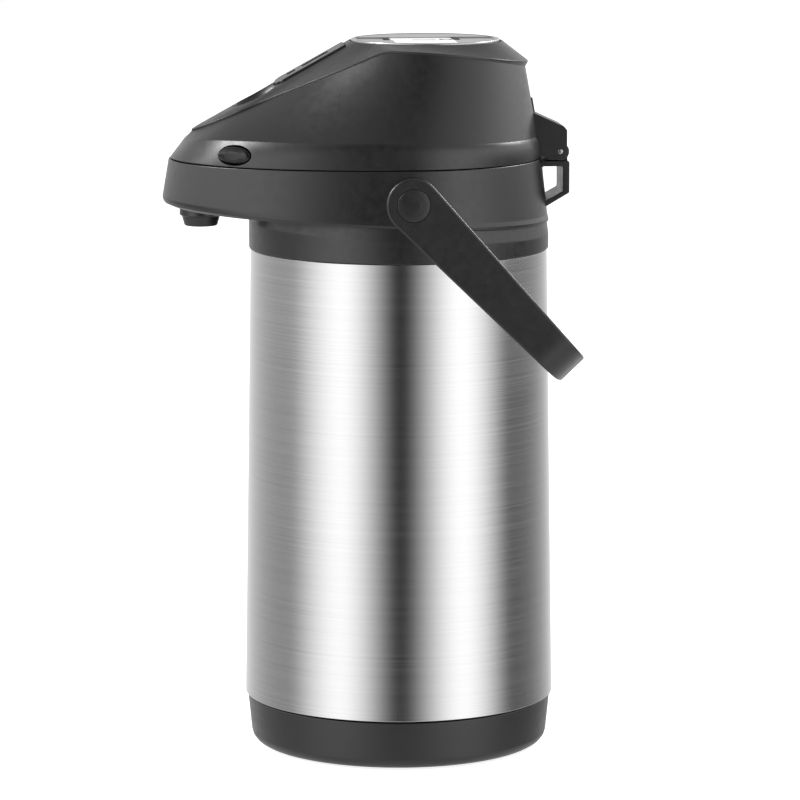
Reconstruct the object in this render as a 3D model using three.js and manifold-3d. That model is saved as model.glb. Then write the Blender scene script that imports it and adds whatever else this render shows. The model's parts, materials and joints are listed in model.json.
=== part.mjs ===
// Thermal coffee airpot, millimetres, +Z up.
// The origin is on the body's axis at the surface that the pot stands on.
// The spout points along -Y, and the left and right sides are -X and +X.
import * as THREE from 'three';
import { mergeVertices } from 'three/addons/utils/BufferGeometryUtils.js';
import { ParametricGeometry } from 'three/addons/geometries/ParametricGeometry.js';
import Module from 'manifold-3d';

const wasm = await Module();
wasm.setup();

// ---------------------------------------------------------------- driving dimensions
const GAP = 0.3; // air left between two pieces that touch
const ROUND_STEPS = 32; // facets around a big round piece that shows
const INNER_STEPS = 20; // facets around a round piece inside
const SMALL_STEPS = 12; // facets around a small round piece
const LOFT_STEPS = 40; // facets around the lid and the shoulder

const FOOT = { radius: 58, high: 2.2 };
const BASE_TOP = 26.2;
const SHELL_FOOT = { z: 27, radius: 82 };
const SHELL_HEAD = { z: 264.9, radius: 78.2 };
const SHEET = 1; // steel wall
const NECK_RADIUS = 41; // inside of the liner's neck
const NECK_TOP = 292;
const LINER_RADIUS = 72;
const LINER_FLOOR = 38;

const COLLAR_RADIUS = 79;
const COLLAR_FOOT = 265.7;
const SEAM = 313; // where the lid parts from the shoulder
const WALL = 2.5; // moulded plastic wall
const BLUNTNESS = 0.91; // under 1 makes the spout end blunter than an ellipse

const DECK = { low: 307, high: 309.5 };
const FLOOR = { low: 313.9, high: 316.4 };
const MOUTH = { y: 14, radius: 25.6, collar: 30.5 };
const TUBE = { y: -26, radius: 4, floor: 50 };
const VALVE = { y: -69, z: 302, cupLow: 291.2, ball: 3.6 };
const NOZZLE = { y: -104.3, low: 277.5, topRadius: 11.2, lowRadius: 9.4, bore: 3.6 };

const BUTTON = { y: 14, radius: 39, top: 375, hole: 39.8 };
const PLATE = { low: 373.2, rim: 0.25, channelHalf: 11, channelReach: 36, channelDepth: 0.9 };
const SPINE_CORNER = 47; // degrees round the button where the slope turns level
const HINGE = { y: 84, z: 316, width: 28, middle: 9, knuckle: 4.5, boss: 4.7, pin: 1.5 };
const PIVOT = { z: 296.5, reach: 83, thickness: 6.5 };
const HANDLE_DROP = 46.4; // degrees below level when the handle hangs behind the pot
const SLOPE = { foot: [-109.5, 328], head: [-25.8, 374.3] };
const SLIDER = { width: 22, upper: 29, lower: 65.5, proud: 0.2, depth: 2.4 };
const SCOOP = { front: 74, half: 12.5, length: 16, depth: 8.5, rise: 1 };
const SLIDER_TRAVEL = 8.5;
const LATCH = { x: 51.9, y: -89, z: 319.3, turn: 33, length: 19.5, height: 9 };
const LATCH_TRAVEL = 3;

// ---------------------------------------------------------------- colours
const FINISHES = {
  black: { color: 0x1b1b1c, roughness: 0.55, metalness: 0 },
  glossBlack: { color: 0x111112, roughness: 0.2, metalness: 0 },
  steel: { color: 0xb9bbbd, roughness: 0.3, metalness: 1 },
  silver: { color: 0xc4c6c8, roughness: 0.35, metalness: 1 },
  rubber: { color: 0x2a2a2b, roughness: 0.9, metalness: 0 },
  silicone: { color: 0xd8d6cf, roughness: 0.7, metalness: 0 },
  grey: { color: 0x5d6063, roughness: 0.6, metalness: 0 },
};

const airpot = new THREE.Group();

function addPiece(name, finish, geometry) {
  const material = new THREE.MeshStandardMaterial(FINISHES[finish]);
  const mesh = new THREE.Mesh(geometry, material);
  mesh.name = name;
  airpot.add(mesh);
  return mesh;
}

// ---------------------------------------------------------------- solids and booleans
function signedVolume(position, index) {
  const [a, b, c] = [new THREE.Vector3(), new THREE.Vector3(), new THREE.Vector3()];
  let total = 0;
  for (let i = 0; i < index.length; i += 3) {
    a.fromBufferAttribute(position, index[i]);
    b.fromBufferAttribute(position, index[i + 1]);
    c.fromBufferAttribute(position, index[i + 2]);
    total += a.dot(b.cross(c)) / 6;
  }
  return total;
}

function toSolid(geometry) {
  const bare = geometry.clone();
  bare.deleteAttribute('normal');
  bare.deleteAttribute('uv');
  const merged = mergeVertices(bare);
  const corners = merged.index.array;
  const kept = [];
  for (let i = 0; i < corners.length; i += 3) {
    const [a, b, c] = [corners[i], corners[i + 1], corners[i + 2]];
    if (a !== b && b !== c && c !== a) kept.push(a, b, c);
  }
  if (signedVolume(merged.attributes.position, kept) < 0) kept.reverse();
  return new wasm.Manifold(new wasm.Mesh({
    numProp: 3,
    vertProperties: new Float32Array(merged.attributes.position.array),
    triVerts: new Uint32Array(kept),
  }));
}

function toGeometry(solid) {
  const mesh = solid.getMesh();
  const geometry = new THREE.BufferGeometry();
  geometry.setAttribute('position', new THREE.BufferAttribute(mesh.vertProperties, 3));
  geometry.setIndex(new THREE.BufferAttribute(mesh.triVerts, 1));
  return geometry;
}

const clean = (geometry) => toGeometry(toSolid(geometry));

function join(first, ...others) {
  return toGeometry(others.reduce((whole, other) => whole.add(toSolid(other)), toSolid(first)));
}

function cut(first, ...others) {
  return toGeometry(others.reduce((whole, other) => whole.subtract(toSolid(other)), toSolid(first)));
}

const overlap = (first, second) => toGeometry(toSolid(first).intersect(toSolid(second)));

// ---------------------------------------------------------------- shape helpers
const radians = THREE.MathUtils.degToRad;

// A turned solid: profile is a list of [radius, z], from axis to axis or closed on itself.
function turned(profile, { y = 0, steps = INNER_STEPS } = {}) {
  const points = profile.map(([radius, z]) => new THREE.Vector2(radius, z));
  const geometry = new THREE.LatheGeometry(points, steps);
  geometry.rotateX(Math.PI / 2);
  geometry.translate(0, y, 0);
  return clean(geometry);
}

// A turned ring with a hole: the same, with the profile closed back to its first point.
const turnedRing = (profile, options) => turned([...profile, profile[0]], options);

const tube = (inner, outer, low, high, options) =>
  turnedRing([[inner, low], [outer, low], [outer, high], [inner, high]], options);

const disc = (radius, low, high, options) =>
  turned([[0, low], [radius, low], [radius, high], [0, high]], options);

// Points on an arc of a turned profile, angles in degrees from the outward direction.
function arc(radius, z, size, from, to, count) {
  return Array.from({ length: count + 1 }, (unused, i) => {
    const angle = radians(from + ((to - from) * i) / count);
    return [radius + size * Math.cos(angle), z + size * Math.sin(angle)];
  });
}

function box(x, y, z) {
  const geometry = new THREE.BoxGeometry(x[1] - x[0], y[1] - y[0], z[1] - z[0]);
  geometry.translate((x[0] + x[1]) / 2, (y[0] + y[1]) / 2, (z[0] + z[1]) / 2);
  return geometry;
}

// A round bar between two x values, along X.
function crossBar(radius, x, y, z, steps = SMALL_STEPS) {
  const geometry = new THREE.CylinderGeometry(radius, radius, x[1] - x[0], steps);
  geometry.rotateZ(Math.PI / 2);
  geometry.translate((x[0] + x[1]) / 2, y, z);
  return geometry;
}

// An upright round bar.
function post(radius, x, y, z, steps = SMALL_STEPS) {
  const geometry = new THREE.CylinderGeometry(radius, radius, z[1] - z[0], steps);
  geometry.rotateX(Math.PI / 2);
  geometry.translate(x, y, (z[0] + z[1]) / 2);
  return geometry;
}

// A side-view outline, as [y, z] points, made into a slab between two x values.
function sideSlab(outline, x, hole) {
  const shape = new THREE.Shape(outline.map(([y, z]) => new THREE.Vector2(y, z)));
  if (hole) shape.holes.push(new THREE.Path(hole.map(([y, z]) => new THREE.Vector2(y, z))));
  const geometry = new THREE.ExtrudeGeometry(shape, { depth: x[1] - x[0], bevelEnabled: false });
  const sideView = new THREE.Matrix4().makeBasis(
    new THREE.Vector3(0, 1, 0), new THREE.Vector3(0, 0, 1), new THREE.Vector3(1, 0, 0));
  geometry.applyMatrix4(sideView);
  geometry.translate(x[0], 0, 0);
  return geometry;
}

// A round rod bent along a curve.
function rod(curve, radius, steps, sides = 8) {
  const section = new THREE.Shape();
  section.absarc(0, 0, radius, 0, 2 * Math.PI);
  return new THREE.ExtrudeGeometry(section, {
    steps, curveSegments: sides / 2, extrudePath: curve, bevelEnabled: false,
  });
}

class Helix extends THREE.Curve {
  constructor(radius, turns, length) {
    super();
    Object.assign(this, { radius, turns, length });
  }

  getPoint(t, target = new THREE.Vector3()) {
    const angle = 2 * Math.PI * this.turns * t;
    return target.set(this.radius * Math.cos(angle), this.radius * Math.sin(angle), this.length * t);
  }
}

function coilSpring(radius, wire, turns, length, stepsPerTurn, sides) {
  return clean(rod(new Helix(radius, turns, length), wire, turns * stepsPerTurn, sides));
}

// ---------------------------------------------------------------- outlines of the head
// Every outline is a function of h: 0 at the front, 0.5 where the slope turns level,
// 1 at the rear. It returns a point on the +X side, and the loft mirrors it.
const CORNER = 0.5;
const CORNER_ANGLE = 84;

function spread(h, corner, last = 180) {
  return h < CORNER ? (corner * h) / CORNER : corner + ((last - corner) * (h - CORNER)) / (1 - CORNER);
}

// A blunt ellipse: how far it reaches to the front, the side and the rear, and its height.
function egg(front, side, rear, height) {
  return (h) => {
    const angle = radians(spread(h, CORNER_ANGLE));
    const c = Math.cos(angle);
    const y = c > 0 ? -front * c ** BLUNTNESS : -rear * c;
    return new THREE.Vector3(side * Math.sin(angle), y, height(y, h));
  };
}

function circle(radius, height) {
  return (h) => {
    const angle = radians(spread(h, CORNER_ANGLE));
    const y = -radius * Math.cos(angle);
    return new THREE.Vector3(radius * Math.sin(angle), y, height(y, h));
  };
}

const level = (z) => () => z;

// The fold round the shoulder, which is also the lower edge of the spout housing.
const foldHeight = (above) => (y) => 283.2 - 0.0455 * y + above;

// The belt line sinks a little towards the rear and runs out at the nose.
const BELT = { front: 113.2, side: 76, rear: 73, z: 326.8 };
function beltHeight(y) {
  const noseRunOut = 4.5 * Math.max(0, -y / BELT.front) ** 12;
  return BELT.z - 0.035 * Math.max(0, y) - noseRunOut;
}

// The top edge of the lid's wall: a narrow spine at the front that widens round the button.
const SLOPE_CORNER_Y = -11.4; // where the slope turns level
const SPINE = new THREE.SplineCurve([
  new THREE.Vector2(0, -109.5), new THREE.Vector2(9, -103), new THREE.Vector2(17, -88.5),
  new THREE.Vector2(21.5, -72), new THREE.Vector2(32, -54), new THREE.Vector2(43, -33),
  new THREE.Vector2(50, SLOPE_CORNER_Y),
]);
const CROWN = { side: 56, rear: 54, cornerAngle: 63.2, foot: 328, corner: 372.2, rearDrop: 8.8 };

function crownHeight(y) {
  if (y < SLOPE_CORNER_Y) {
    const up = (y - SLOPE.foot[0]) / (SLOPE_CORNER_Y - SLOPE.foot[0]);
    return CROWN.foot + (CROWN.corner - CROWN.foot) * up;
  }
  const back = (y - SLOPE_CORNER_Y) / (BUTTON.y + CROWN.rear - SLOPE_CORNER_Y);
  return CROWN.corner - CROWN.rearDrop * back ** 1.8;
}

function crown(h) {
  if (h < CORNER) {
    const p = SPINE.getPoint(h / CORNER);
    return new THREE.Vector3(p.x, p.y, crownHeight(p.y));
  }
  const angle = radians(CROWN.cornerAngle + ((180 - CROWN.cornerAngle) * (h - CORNER)) / (1 - CORNER));
  const y = BUTTON.y - (angle < Math.PI / 2 ? CROWN.side : CROWN.rear) * Math.cos(angle);
  return new THREE.Vector3(CROWN.side * Math.sin(angle), y, crownHeight(y));
}

function buttonHole(z) {
  return (h) => {
    const angle = radians(spread(h, SPINE_CORNER));
    return new THREE.Vector3(BUTTON.hole * Math.sin(angle), BUTTON.y - BUTTON.hole * Math.cos(angle), z);
  };
}

// The same outline moved inwards in plan, and down.
function inset(outline, distance, drop = 0) {
  const near = 1e-3;
  return (h) => {
    const here = outline(h);
    const ahead = outline(Math.min(1, h + near));
    const behind = outline(Math.max(0, h - near));
    const along = new THREE.Vector2(ahead.x - behind.x, ahead.y - behind.y);
    if (h === 0 || h === 1) along.set(h === 0 ? 1 : -1, 0);
    along.normalize();
    return new THREE.Vector3(here.x - along.y * distance, here.y + along.x * distance, here.z - drop);
  };
}

const spot = (y, z) => () => new THREE.Vector3(0, y, z);

// A surface through a list of outlines. It is closed if the list ends in spots on the
// middle line, or if its last outline is its first.
function loft(outlines) {
  const surface = (around, along, target) => {
    const h = around < 0.5 ? 2 * around : 2 * (1 - around);
    const outline = outlines[Math.round(along * (outlines.length - 1))];
    target.copy(outline(h));
    if (around > 0.5) target.x = -target.x;
  };
  return clean(new ParametricGeometry(surface, LOFT_STEPS, outlines.length - 1));
}

const loftedPlate = (outline, low, high) =>
  loft([spot(0, low), outline(low), outline(high), spot(0, high)]);

// ---------------------------------------------------------------- base and vacuum vessel
function footPad() {
  return disc(FOOT.radius, 0, FOOT.high, { steps: ROUND_STEPS });
}

function baseCup() {
  const seat = FOOT.high + GAP;
  const rim = FOOT.radius + 0.6;
  const outside = [[rim, seat], [rim, 0.6], ...arc(73.1, 6.1, 5.5, -90, -8, 3), [80.8, BASE_TOP]];
  const inside = [[78.2, BASE_TOP], [75.8, 8], [72, 5.2], [0, 5.2]];
  return turned([[0, seat], ...outside, ...inside], { steps: ROUND_STEPS });
}

// Outer steel shell: straight taper, a step for the collar, a round shoulder and a neck.
function outerShell() {
  const step = SHELL_HEAD.radius - 2.9;
  const neck = NECK_RADIUS + 2 * SHEET + GAP;
  const outside = [
    [SHELL_FOOT.radius, SHELL_FOOT.z], [SHELL_HEAD.radius, SHELL_HEAD.z], [step, SHELL_HEAD.z],
    ...arc(step - 13, 268, 13, 0, 80, 3), [neck + SHEET, 283.5], [neck + SHEET, NECK_TOP - 0.6],
  ];
  const inside = [
    [neck, NECK_TOP - 0.6], [neck, 282.5], ...arc(step - 13, 267.5, 12, 80, 0, 3),
    [step - SHEET, SHELL_HEAD.z - SHEET], [SHELL_HEAD.radius - SHEET, SHELL_HEAD.z - SHEET],
    [SHELL_FOOT.radius - SHEET, SHELL_FOOT.z],
  ];
  return turnedRing([...outside, ...inside], { steps: ROUND_STEPS });
}

function shellBottom() {
  const edge = SHELL_FOOT.radius - SHEET - GAP - 0.2;
  return turned([
    [0, 31], [50, 31], [56, 28], [edge, 28], [edge, 29], [57, 29], [51, 32], [0, 32],
  ]);
}

function innerLiner() {
  const outer = LINER_RADIUS + SHEET;
  const outside = [
    [0, LINER_FLOOR - SHEET], ...arc(outer - 14, LINER_FLOOR - SHEET + 14, 14, -90, 0, 3),
    ...arc(outer - 14, 252, 14, 0, 80, 3), [NECK_RADIUS + SHEET, 275], [NECK_RADIUS + SHEET, NECK_TOP],
  ];
  const inside = [
    [NECK_RADIUS, NECK_TOP], [NECK_RADIUS, 274], ...arc(outer - 14, 252, 13, 80, 0, 3),
    ...arc(outer - 14, LINER_FLOOR + 13, 13, 0, -90, 3), [0, LINER_FLOOR],
  ];
  return turned([...outside, ...inside]);
}

// ---------------------------------------------------------------- mouth and water path
function neckGasket() {
  return tube(NECK_RADIUS - 0.5, 45.6, NECK_TOP + GAP, NECK_TOP + GAP + 1);
}

// Plastic insert in the neck: flange, skirt, filling mouth with its collar, and tube hole.
function mouthRing() {
  const flange = { low: NECK_TOP + 2 * GAP + 1, high: 296.2 };
  const body = join(
    disc(46, flange.low, flange.high),
    tube(36.5, NECK_RADIUS - 0.6, 284, flange.low + 0.5),
    post(MOUTH.collar, 0, MOUTH.y, [flange.high - 0.5, DECK.high], INNER_STEPS),
  );
  return cut(
    body,
    post(MOUTH.radius, 0, MOUTH.y, [280, 315], INNER_STEPS),
    post(7.4, 0, TUBE.y, [280, 300]),
  );
}

function dipTube() {
  return tube(TUBE.radius - 0.8, TUBE.radius, TUBE.floor, 299, { y: TUBE.y, steps: SMALL_STEPS });
}

function tubeSeal() {
  const inner = TUBE.radius + GAP;
  return turnedRing([
    [inner, 290], [6.7, 290], [6.7, 296.4], [8.6, 296.4], [8.6, 297.6], [inner, 297.6],
  ], { y: TUBE.y, steps: SMALL_STEPS });
}

// Elbow that carries the coffee from the tube's top to the valve.
function outletElbow() {
  const end = VALVE.y + 9.6;
  const outside = join(
    post(5, 0, TUBE.y, [298, VALVE.z + 3]), post(8.6, 0, TUBE.y, [297.9, 300.4]),
    alongSpout(4.1, [end, TUBE.y], VALVE.z));
  return cut(
    outside,
    post(2.8, 0, TUBE.y, [299, VALVE.z + 1]),
    post(TUBE.radius + GAP, 0, TUBE.y, [296, 299.6]),
    alongSpout(2.8, [end - 1, TUBE.y], VALVE.z));
}

// A round bar along Y.
function alongSpout(radius, y, z, steps = SMALL_STEPS) {
  const geometry = new THREE.CylinderGeometry(radius, radius, y[1] - y[0], steps);
  geometry.translate(0, (y[0] + y[1]) / 2, z);
  return geometry;
}

// Tip-over valve: a chamber with a cup below it for the ball.
function valveHousing() {
  const front = VALVE.y - 9;
  const back = VALVE.y + 9;
  const outside = join(
    alongSpout(5, [front - 4, back], VALVE.z), post(7.6, 0, VALVE.y, [VALVE.cupLow - 1.8, 306.2]));
  return cut(
    outside,
    alongSpout(3.2, [front - 5, back + 1], VALVE.z),
    post(5.4, 0, VALVE.y, [VALVE.cupLow, 304.6]),
  );
}

function valveBall() {
  const geometry = new THREE.SphereGeometry(VALVE.ball, 12, 8);
  geometry.rotateX(Math.PI / 2);
  geometry.translate(0, VALVE.y, VALVE.cupLow + VALVE.ball + GAP);
  return clean(geometry);
}

function spoutHose() {
  const start = VALVE.y - 13 - GAP;
  const top = 294.9;
  const bend = new THREE.QuadraticBezierCurve3(
    new THREE.Vector3(0, start, VALVE.z), new THREE.Vector3(0, NOZZLE.y, VALVE.z),
    new THREE.Vector3(0, NOZZLE.y, top));
  const bore = new THREE.CurvePath();
  bore.add(new THREE.LineCurve3(new THREE.Vector3(0, start + 1, VALVE.z), bend.getPoint(0)));
  bore.add(bend);
  bore.add(new THREE.LineCurve3(bend.getPoint(1), new THREE.Vector3(0, NOZZLE.y, top - 1)));
  return cut(rod(bend, 5.2, 7, 10), rod(bore, 3.4, 9, 10));
}

function nozzle() {
  const floor = foldHeight(WALL + GAP)(NOZZLE.y);
  const under = foldHeight(-GAP)(NOZZLE.y);
  return turnedRing([
    [NOZZLE.bore, NOZZLE.low], [NOZZLE.lowRadius, NOZZLE.low], [NOZZLE.topRadius, under - 1.2],
    [8.4, under - 1.2], [8.4, floor + 0.8], [11, floor + 0.8], [11, floor + 2.2],
    [NOZZLE.bore, floor + 2.2],
  ], { y: NOZZLE.y, steps: 20 });
}

// ---------------------------------------------------------------- shoulder housing
const seamOutline = (z) => egg(121, 78, 75, level(z));

const DECK_SCREWS = [[49, 49], [-49, 49], [38, -78], [-38, -78]];

function shoulderSkin() {
  const collar = (z) => circle(COLLAR_RADIUS, z);
  const seam = seamOutline(SEAM - GAP / 2);
  const belly = egg(124.5, 79.2, 78.3, foldHeight(3.6));
  const edge = egg(119.5, 79.1, 79.1, foldHeight(0));
  return loft([
    collar(level(COLLAR_FOOT)), collar(foldHeight(-0.6)), edge,
    egg(123.2, 79.4, 78.8, foldHeight(1.3)), belly, seam,
    inset(seam, WALL), inset(belly, WALL), inset(edge, WALL, -WALL),
    circle(COLLAR_RADIUS - WALL, foldHeight(WALL - 0.6)),
    circle(COLLAR_RADIUS - WALL, level(COLLAR_FOOT)),
    collar(level(COLLAR_FOOT)),
  ]);
}

const STRAP_TOP = HINGE.z - HINGE.boss - GAP;

// The bracket behind the shoulder: a strap round a window, and the middle hinge knuckle.
function hingeBracket() {
  const half = HINGE.width / 2;
  const strap = sideSlab(
    [[75.5, 287.2], [76.8, 287.2], [88.9, 294.3], [88.9, STRAP_TOP], [73.6, STRAP_TOP]],
    [-half, half],
    [[74.4, 308.2], [85.4, 308.2], [85.4, 295.2], [75.8, 289.8]]);
  const middle = [-HINGE.middle, HINGE.middle];
  const knuckle = crossBar(HINGE.knuckle, middle, HINGE.y, HINGE.z);
  const neck = box(middle, [HINGE.y - 4.4, HINGE.y + 4.4], [STRAP_TOP - 1, HINGE.z]);
  return join(strap, neck, knuckle);
}

function shoulderHousing() {
  const bosses = [1, -1].map((side) => {
    const x = side > 0 ? [76.6, PIVOT.reach - GAP] : [GAP - PIVOT.reach, -76.6];
    return crossBar(12, x, 0, PIVOT.z, 22);
  });
  const studHoles = crossBar(4.2, [-90, 90], 0, PIVOT.z);
  const screwPosts = DECK_SCREWS.map(([x, y]) =>
    (y > 0 ? post(6.2, x, y, [296, DECK.low - GAP]) : post(3.6, x, y, [288.5, DECK.low - GAP])));
  const screwHoles = DECK_SCREWS.map(([x, y]) => post(1.8, x, y, [298, 310], 8));
  return cut(
    join(shoulderSkin(), hingeBracket(), ...bosses, ...screwPosts),
    studHoles,
    crossBar(HINGE.pin + 0.1, [-20, 20], HINGE.y, HINGE.z, 16),
    post(8.8, 0, NOZZLE.y, [280, 295], 20),
    ...screwHoles,
  );
}

// The deck seen when the lid is open. It closes the shoulder round the filling mouth.
function deckPlate() {
  const outline = (z) => inset(seamOutline(z), WALL + 0.6);
  return cut(
    loftedPlate(outline, DECK.low, DECK.high),
    post(MOUTH.collar + 0.6, 0, MOUTH.y, [300, 315], INNER_STEPS),
    ...DECK_SCREWS.map(([x, y]) => post(2, x, y, [300, 315], 8)),
    ...[1, -1].map((side) => placeLatch(latchSlot([DECK.low - 1, DECK.high + 1]), side)),
  );
}

// A pan head screw; direction is 1 with its head on top and -1 with its head below.
function screw(x, y, face, direction, length) {
  const headLow = face + direction * GAP;
  const headHigh = headLow + direction * 1.6;
  const sorted = (a, b) => [Math.min(a, b), Math.max(a, b)];
  return join(
    post(3.2, x, y, sorted(headLow, headHigh), 12),
    post(1.4, x, y, sorted(headLow + direction * 0.2, face - direction * length), 8),
  );
}

function pivotStud(side) {
  const ends = (a, b) => (side > 0 ? [a, b] : [-b, -a]);
  const outer = PIVOT.reach + PIVOT.thickness;
  return join(
    crossBar(3.9, ends(73, outer - 2.2), 0, PIVOT.z),
    crossBar(6.4, ends(outer - 2.4, outer - 1.2), 0, PIVOT.z),
    crossBar(6.4, ends(72.4, 73.6), 0, PIVOT.z),
  );
}

function pivotCap(side) {
  const outer = PIVOT.reach + PIVOT.thickness;
  const profile = [[0, 0], [8.1, 0], [8.1, 0.9], [6.5, 1.4], [0, 1.7]];
  const geometry = new THREE.LatheGeometry(profile.map(([r, t]) => new THREE.Vector2(r, t)), 22);
  geometry.rotateZ(side > 0 ? -Math.PI / 2 : Math.PI / 2);
  geometry.translate(side * (outer - 0.8), 0, PIVOT.z);
  return clean(geometry);
}

// ---------------------------------------------------------------- carrying handle
// The bail is made flat, arms along -Y from the pivot, then swung to where it hangs.
const BAIL = { outer: 114.2, bow: 17, crossbar: 6.3, width: 18.5, middleWidth: 17, end: 14 };

function bailOutline() {
  const inner = PIVOT.reach;
  const outer = inner + PIVOT.thickness;
  const shape = new THREE.Shape();
  const armEnd = BAIL.outer - 14;
  shape.moveTo(outer, BAIL.end);
  shape.lineTo(outer, -armEnd);
  shape.bezierCurveTo(outer, -BAIL.outer - 1, outer - 12, -BAIL.outer - 5, outer - 28, -BAIL.outer - 8);
  shape.quadraticCurveTo(30, -BAIL.outer - BAIL.bow, 0, -BAIL.outer - BAIL.bow);
  shape.quadraticCurveTo(-30, -BAIL.outer - BAIL.bow, 28 - outer, -BAIL.outer - 8);
  shape.bezierCurveTo(12 - outer, -BAIL.outer - 5, -outer, -BAIL.outer - 1, -outer, -armEnd);
  shape.lineTo(-outer, BAIL.end);
  shape.lineTo(-inner, BAIL.end);
  shape.lineTo(-inner, -armEnd + 4);
  const inside = BAIL.outer - BAIL.crossbar;
  shape.bezierCurveTo(-inner, -inside - 1, 12 - inner, -inside - 4, 26 - inner, -inside - 8);
  shape.quadraticCurveTo(-28, -inside - BAIL.bow, 0, -inside - BAIL.bow);
  shape.quadraticCurveTo(28, -inside - BAIL.bow, inner - 26, -inside - 8);
  shape.bezierCurveTo(inner - 12, -inside - 4, inner, -inside - 1, inner, -armEnd + 4);
  shape.lineTo(inner, BAIL.end);
  return shape;
}

// The side view that trims the bail: round at the pivot, narrowing to the crossbar.
function bailSideView() {
  const reach = BAIL.outer + BAIL.bow + 1;
  const narrow = BAIL.width / 2;
  const middle = BAIL.middleWidth / 2;
  const shape = new THREE.Shape();
  shape.moveTo(-reach, -middle);
  shape.lineTo(-BAIL.outer, -narrow);
  shape.lineTo(-8, -BAIL.end + 0.8);
  shape.absarc(0, 0, BAIL.end, -Math.PI / 2 - 0.3, Math.PI / 2 + 0.3, false);
  shape.lineTo(-BAIL.outer, narrow);
  shape.lineTo(-reach, middle);
  return shape;
}

function handle() {
  const flat = new THREE.ExtrudeGeometry(bailOutline(), {
    depth: 2 * BAIL.end, bevelEnabled: false, curveSegments: 4,
  });
  flat.translate(0, 0, -BAIL.end);
  const side = new THREE.ExtrudeGeometry(bailSideView(), {
    depth: 200, bevelEnabled: false, curveSegments: 10,
  });
  side.applyMatrix4(new THREE.Matrix4().makeBasis(
    new THREE.Vector3(0, 1, 0), new THREE.Vector3(0, 0, 1), new THREE.Vector3(1, 0, 0)));
  side.translate(-100, 0, 0);
  const outer = PIVOT.reach + PIVOT.thickness;
  const capSeats = [[outer - 1.1, outer + 1], [-outer - 1, 1.1 - outer]];
  const headSeats = [[outer - 2.9, outer], [-outer, 2.9 - outer]];
  const bail = cut(
    overlap(flat, side),
    crossBar(4.2, [-95, 95], 0, 0),
    ...capSeats.map((x) => crossBar(8.5, x, 0, 0, 22)),
    ...headSeats.map((x) => crossBar(6.7, x, 0, 0)),
  );
  bail.rotateX(Math.PI + radians(-HANDLE_DROP));
  bail.translate(0, 0, PIVOT.z);
  return bail;
}

// ---------------------------------------------------------------- lid
const belt = egg(BELT.front, BELT.side, BELT.rear, beltHeight);
const lidFoot = egg(120.4, 77.7, 74.8, level(SEAM + GAP / 2));
const LID_SCREWS = [[68, 22], [-68, 22], [35, -96], [-35, -96]];

// Block at the rear of the lid that holds the ends of the hinge pin.
function hingeBlock() {
  const half = HINGE.width / 2;
  const under = STRAP_TOP + 2 * GAP;
  const upper = sideSlab(
    [
      [69.5, SEAM + GAP], [75.7, SEAM + GAP], [75.7, under], [HINGE.y + 1.4, under],
      [87.6, HINGE.z], [87.6, 327.2], [86, 329.2], [70.6, 336.2], [68.6, 336.2],
    ],
    [-half, half]);
  const backPlate = sideSlab([[69, 330], [72.6, 330], [70.3, 344], [67, 344]], [-9, 9]);
  const bosses = crossBar(HINGE.boss, [-half, half], HINGE.y, HINGE.z);
  const room = HINGE.middle + 0.4;
  const recess = box([-room, room], [77.5, 92], [300, HINGE.z + 5.4]);
  return cut(join(upper, backPlate, bosses), recess);
}

// The wall stands under the bonnet's edge, and is tucked further in towards the rear.
const tuck = (h) => 1.8 * Math.max(0, 2 * h - 1) ** 2;
const wallTop = (h) => inset(crown, 0.2 + tuck(h), 1.9 + 0.4 * tuck(h))(h);
const wallTopInside = (h) => inset(crown, 2.6 + tuck(h), 4.3)(h);

function lidWall() {
  const footInside = inset(lidFoot, WALL);
  return loft([lidFoot, belt, wallTop, wallTopInside, inset(belt, WALL, 1.5), footInside, lidFoot]);
}

function lidSkirt() {
  const insideOfWall = inset(lidFoot, WALL - 0.4);
  const hollow = loft([
    spot(0, 312), insideOfWall, inset(belt, WALL, 0), wallTopInside, spot(BUTTON.y, 366),
  ]);
  const screwPosts = LID_SCREWS.map(([x, y]) => post(3.6, x, y, [FLOOR.high + GAP, 324]));
  const screwHoles = LID_SCREWS.map(([x, y]) => post(1.8, x, y, [310, 322.5], 8));
  return cut(
    join(lidWall(), cut(hingeBlock(), hollow), ...screwPosts),
    crossBar(HINGE.pin + 0.1, [-20, 20], HINGE.y, HINGE.z, 16),
    ...[1, -1].map((side) => placeLatch(latchButton(0.45, [-12, 8]), side)),
    ...screwHoles,
  );
}

const slopeAngle = Math.atan2(SLOPE.head[1] - SLOPE.foot[1], SLOPE.head[0] - SLOPE.foot[0]);

// Puts a piece that was made flat, with -Y down the slope, onto the slope of the lid.
function onSlope(geometry) {
  geometry.rotateX(slopeAngle);
  geometry.translate(0, SLOPE.head[0], SLOPE.head[1]);
  return geometry;
}

const alongSlope = (front) => -(front + SLOPE.head[0]) / Math.cos(slopeAngle);

function tongueOutline(spare, longer) {
  const half = SLIDER.width / 2 + spare;
  const upper = alongSlope(SLIDER.upper) + spare;
  const lower = alongSlope(SLIDER.lower) - spare - longer;
  const shape = new THREE.Shape();
  shape.moveTo(half, upper);
  shape.lineTo(half, lower + 5);
  shape.quadraticCurveTo(half, lower, 0, lower);
  shape.quadraticCurveTo(-half, lower, -half, lower + 5);
  shape.lineTo(-half, upper);
  return shape;
}

function tongue(spare, longer, low, high) {
  const geometry = new THREE.ExtrudeGeometry(tongueOutline(spare, longer), {
    depth: high - low, bevelEnabled: false, curveSegments: 6,
  });
  geometry.translate(0, 0, low);
  return onSlope(geometry);
}

// The scooped hollow below the tongue, where a finger pulls the slider.
function fingerScoop() {
  const geometry = new THREE.SphereGeometry(1, 20, 12);
  geometry.scale(SCOOP.half, SCOOP.length, SCOOP.depth + SCOOP.rise);
  geometry.translate(0, alongSlope(SCOOP.front), SCOOP.rise);
  return onSlope(geometry);
}

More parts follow.
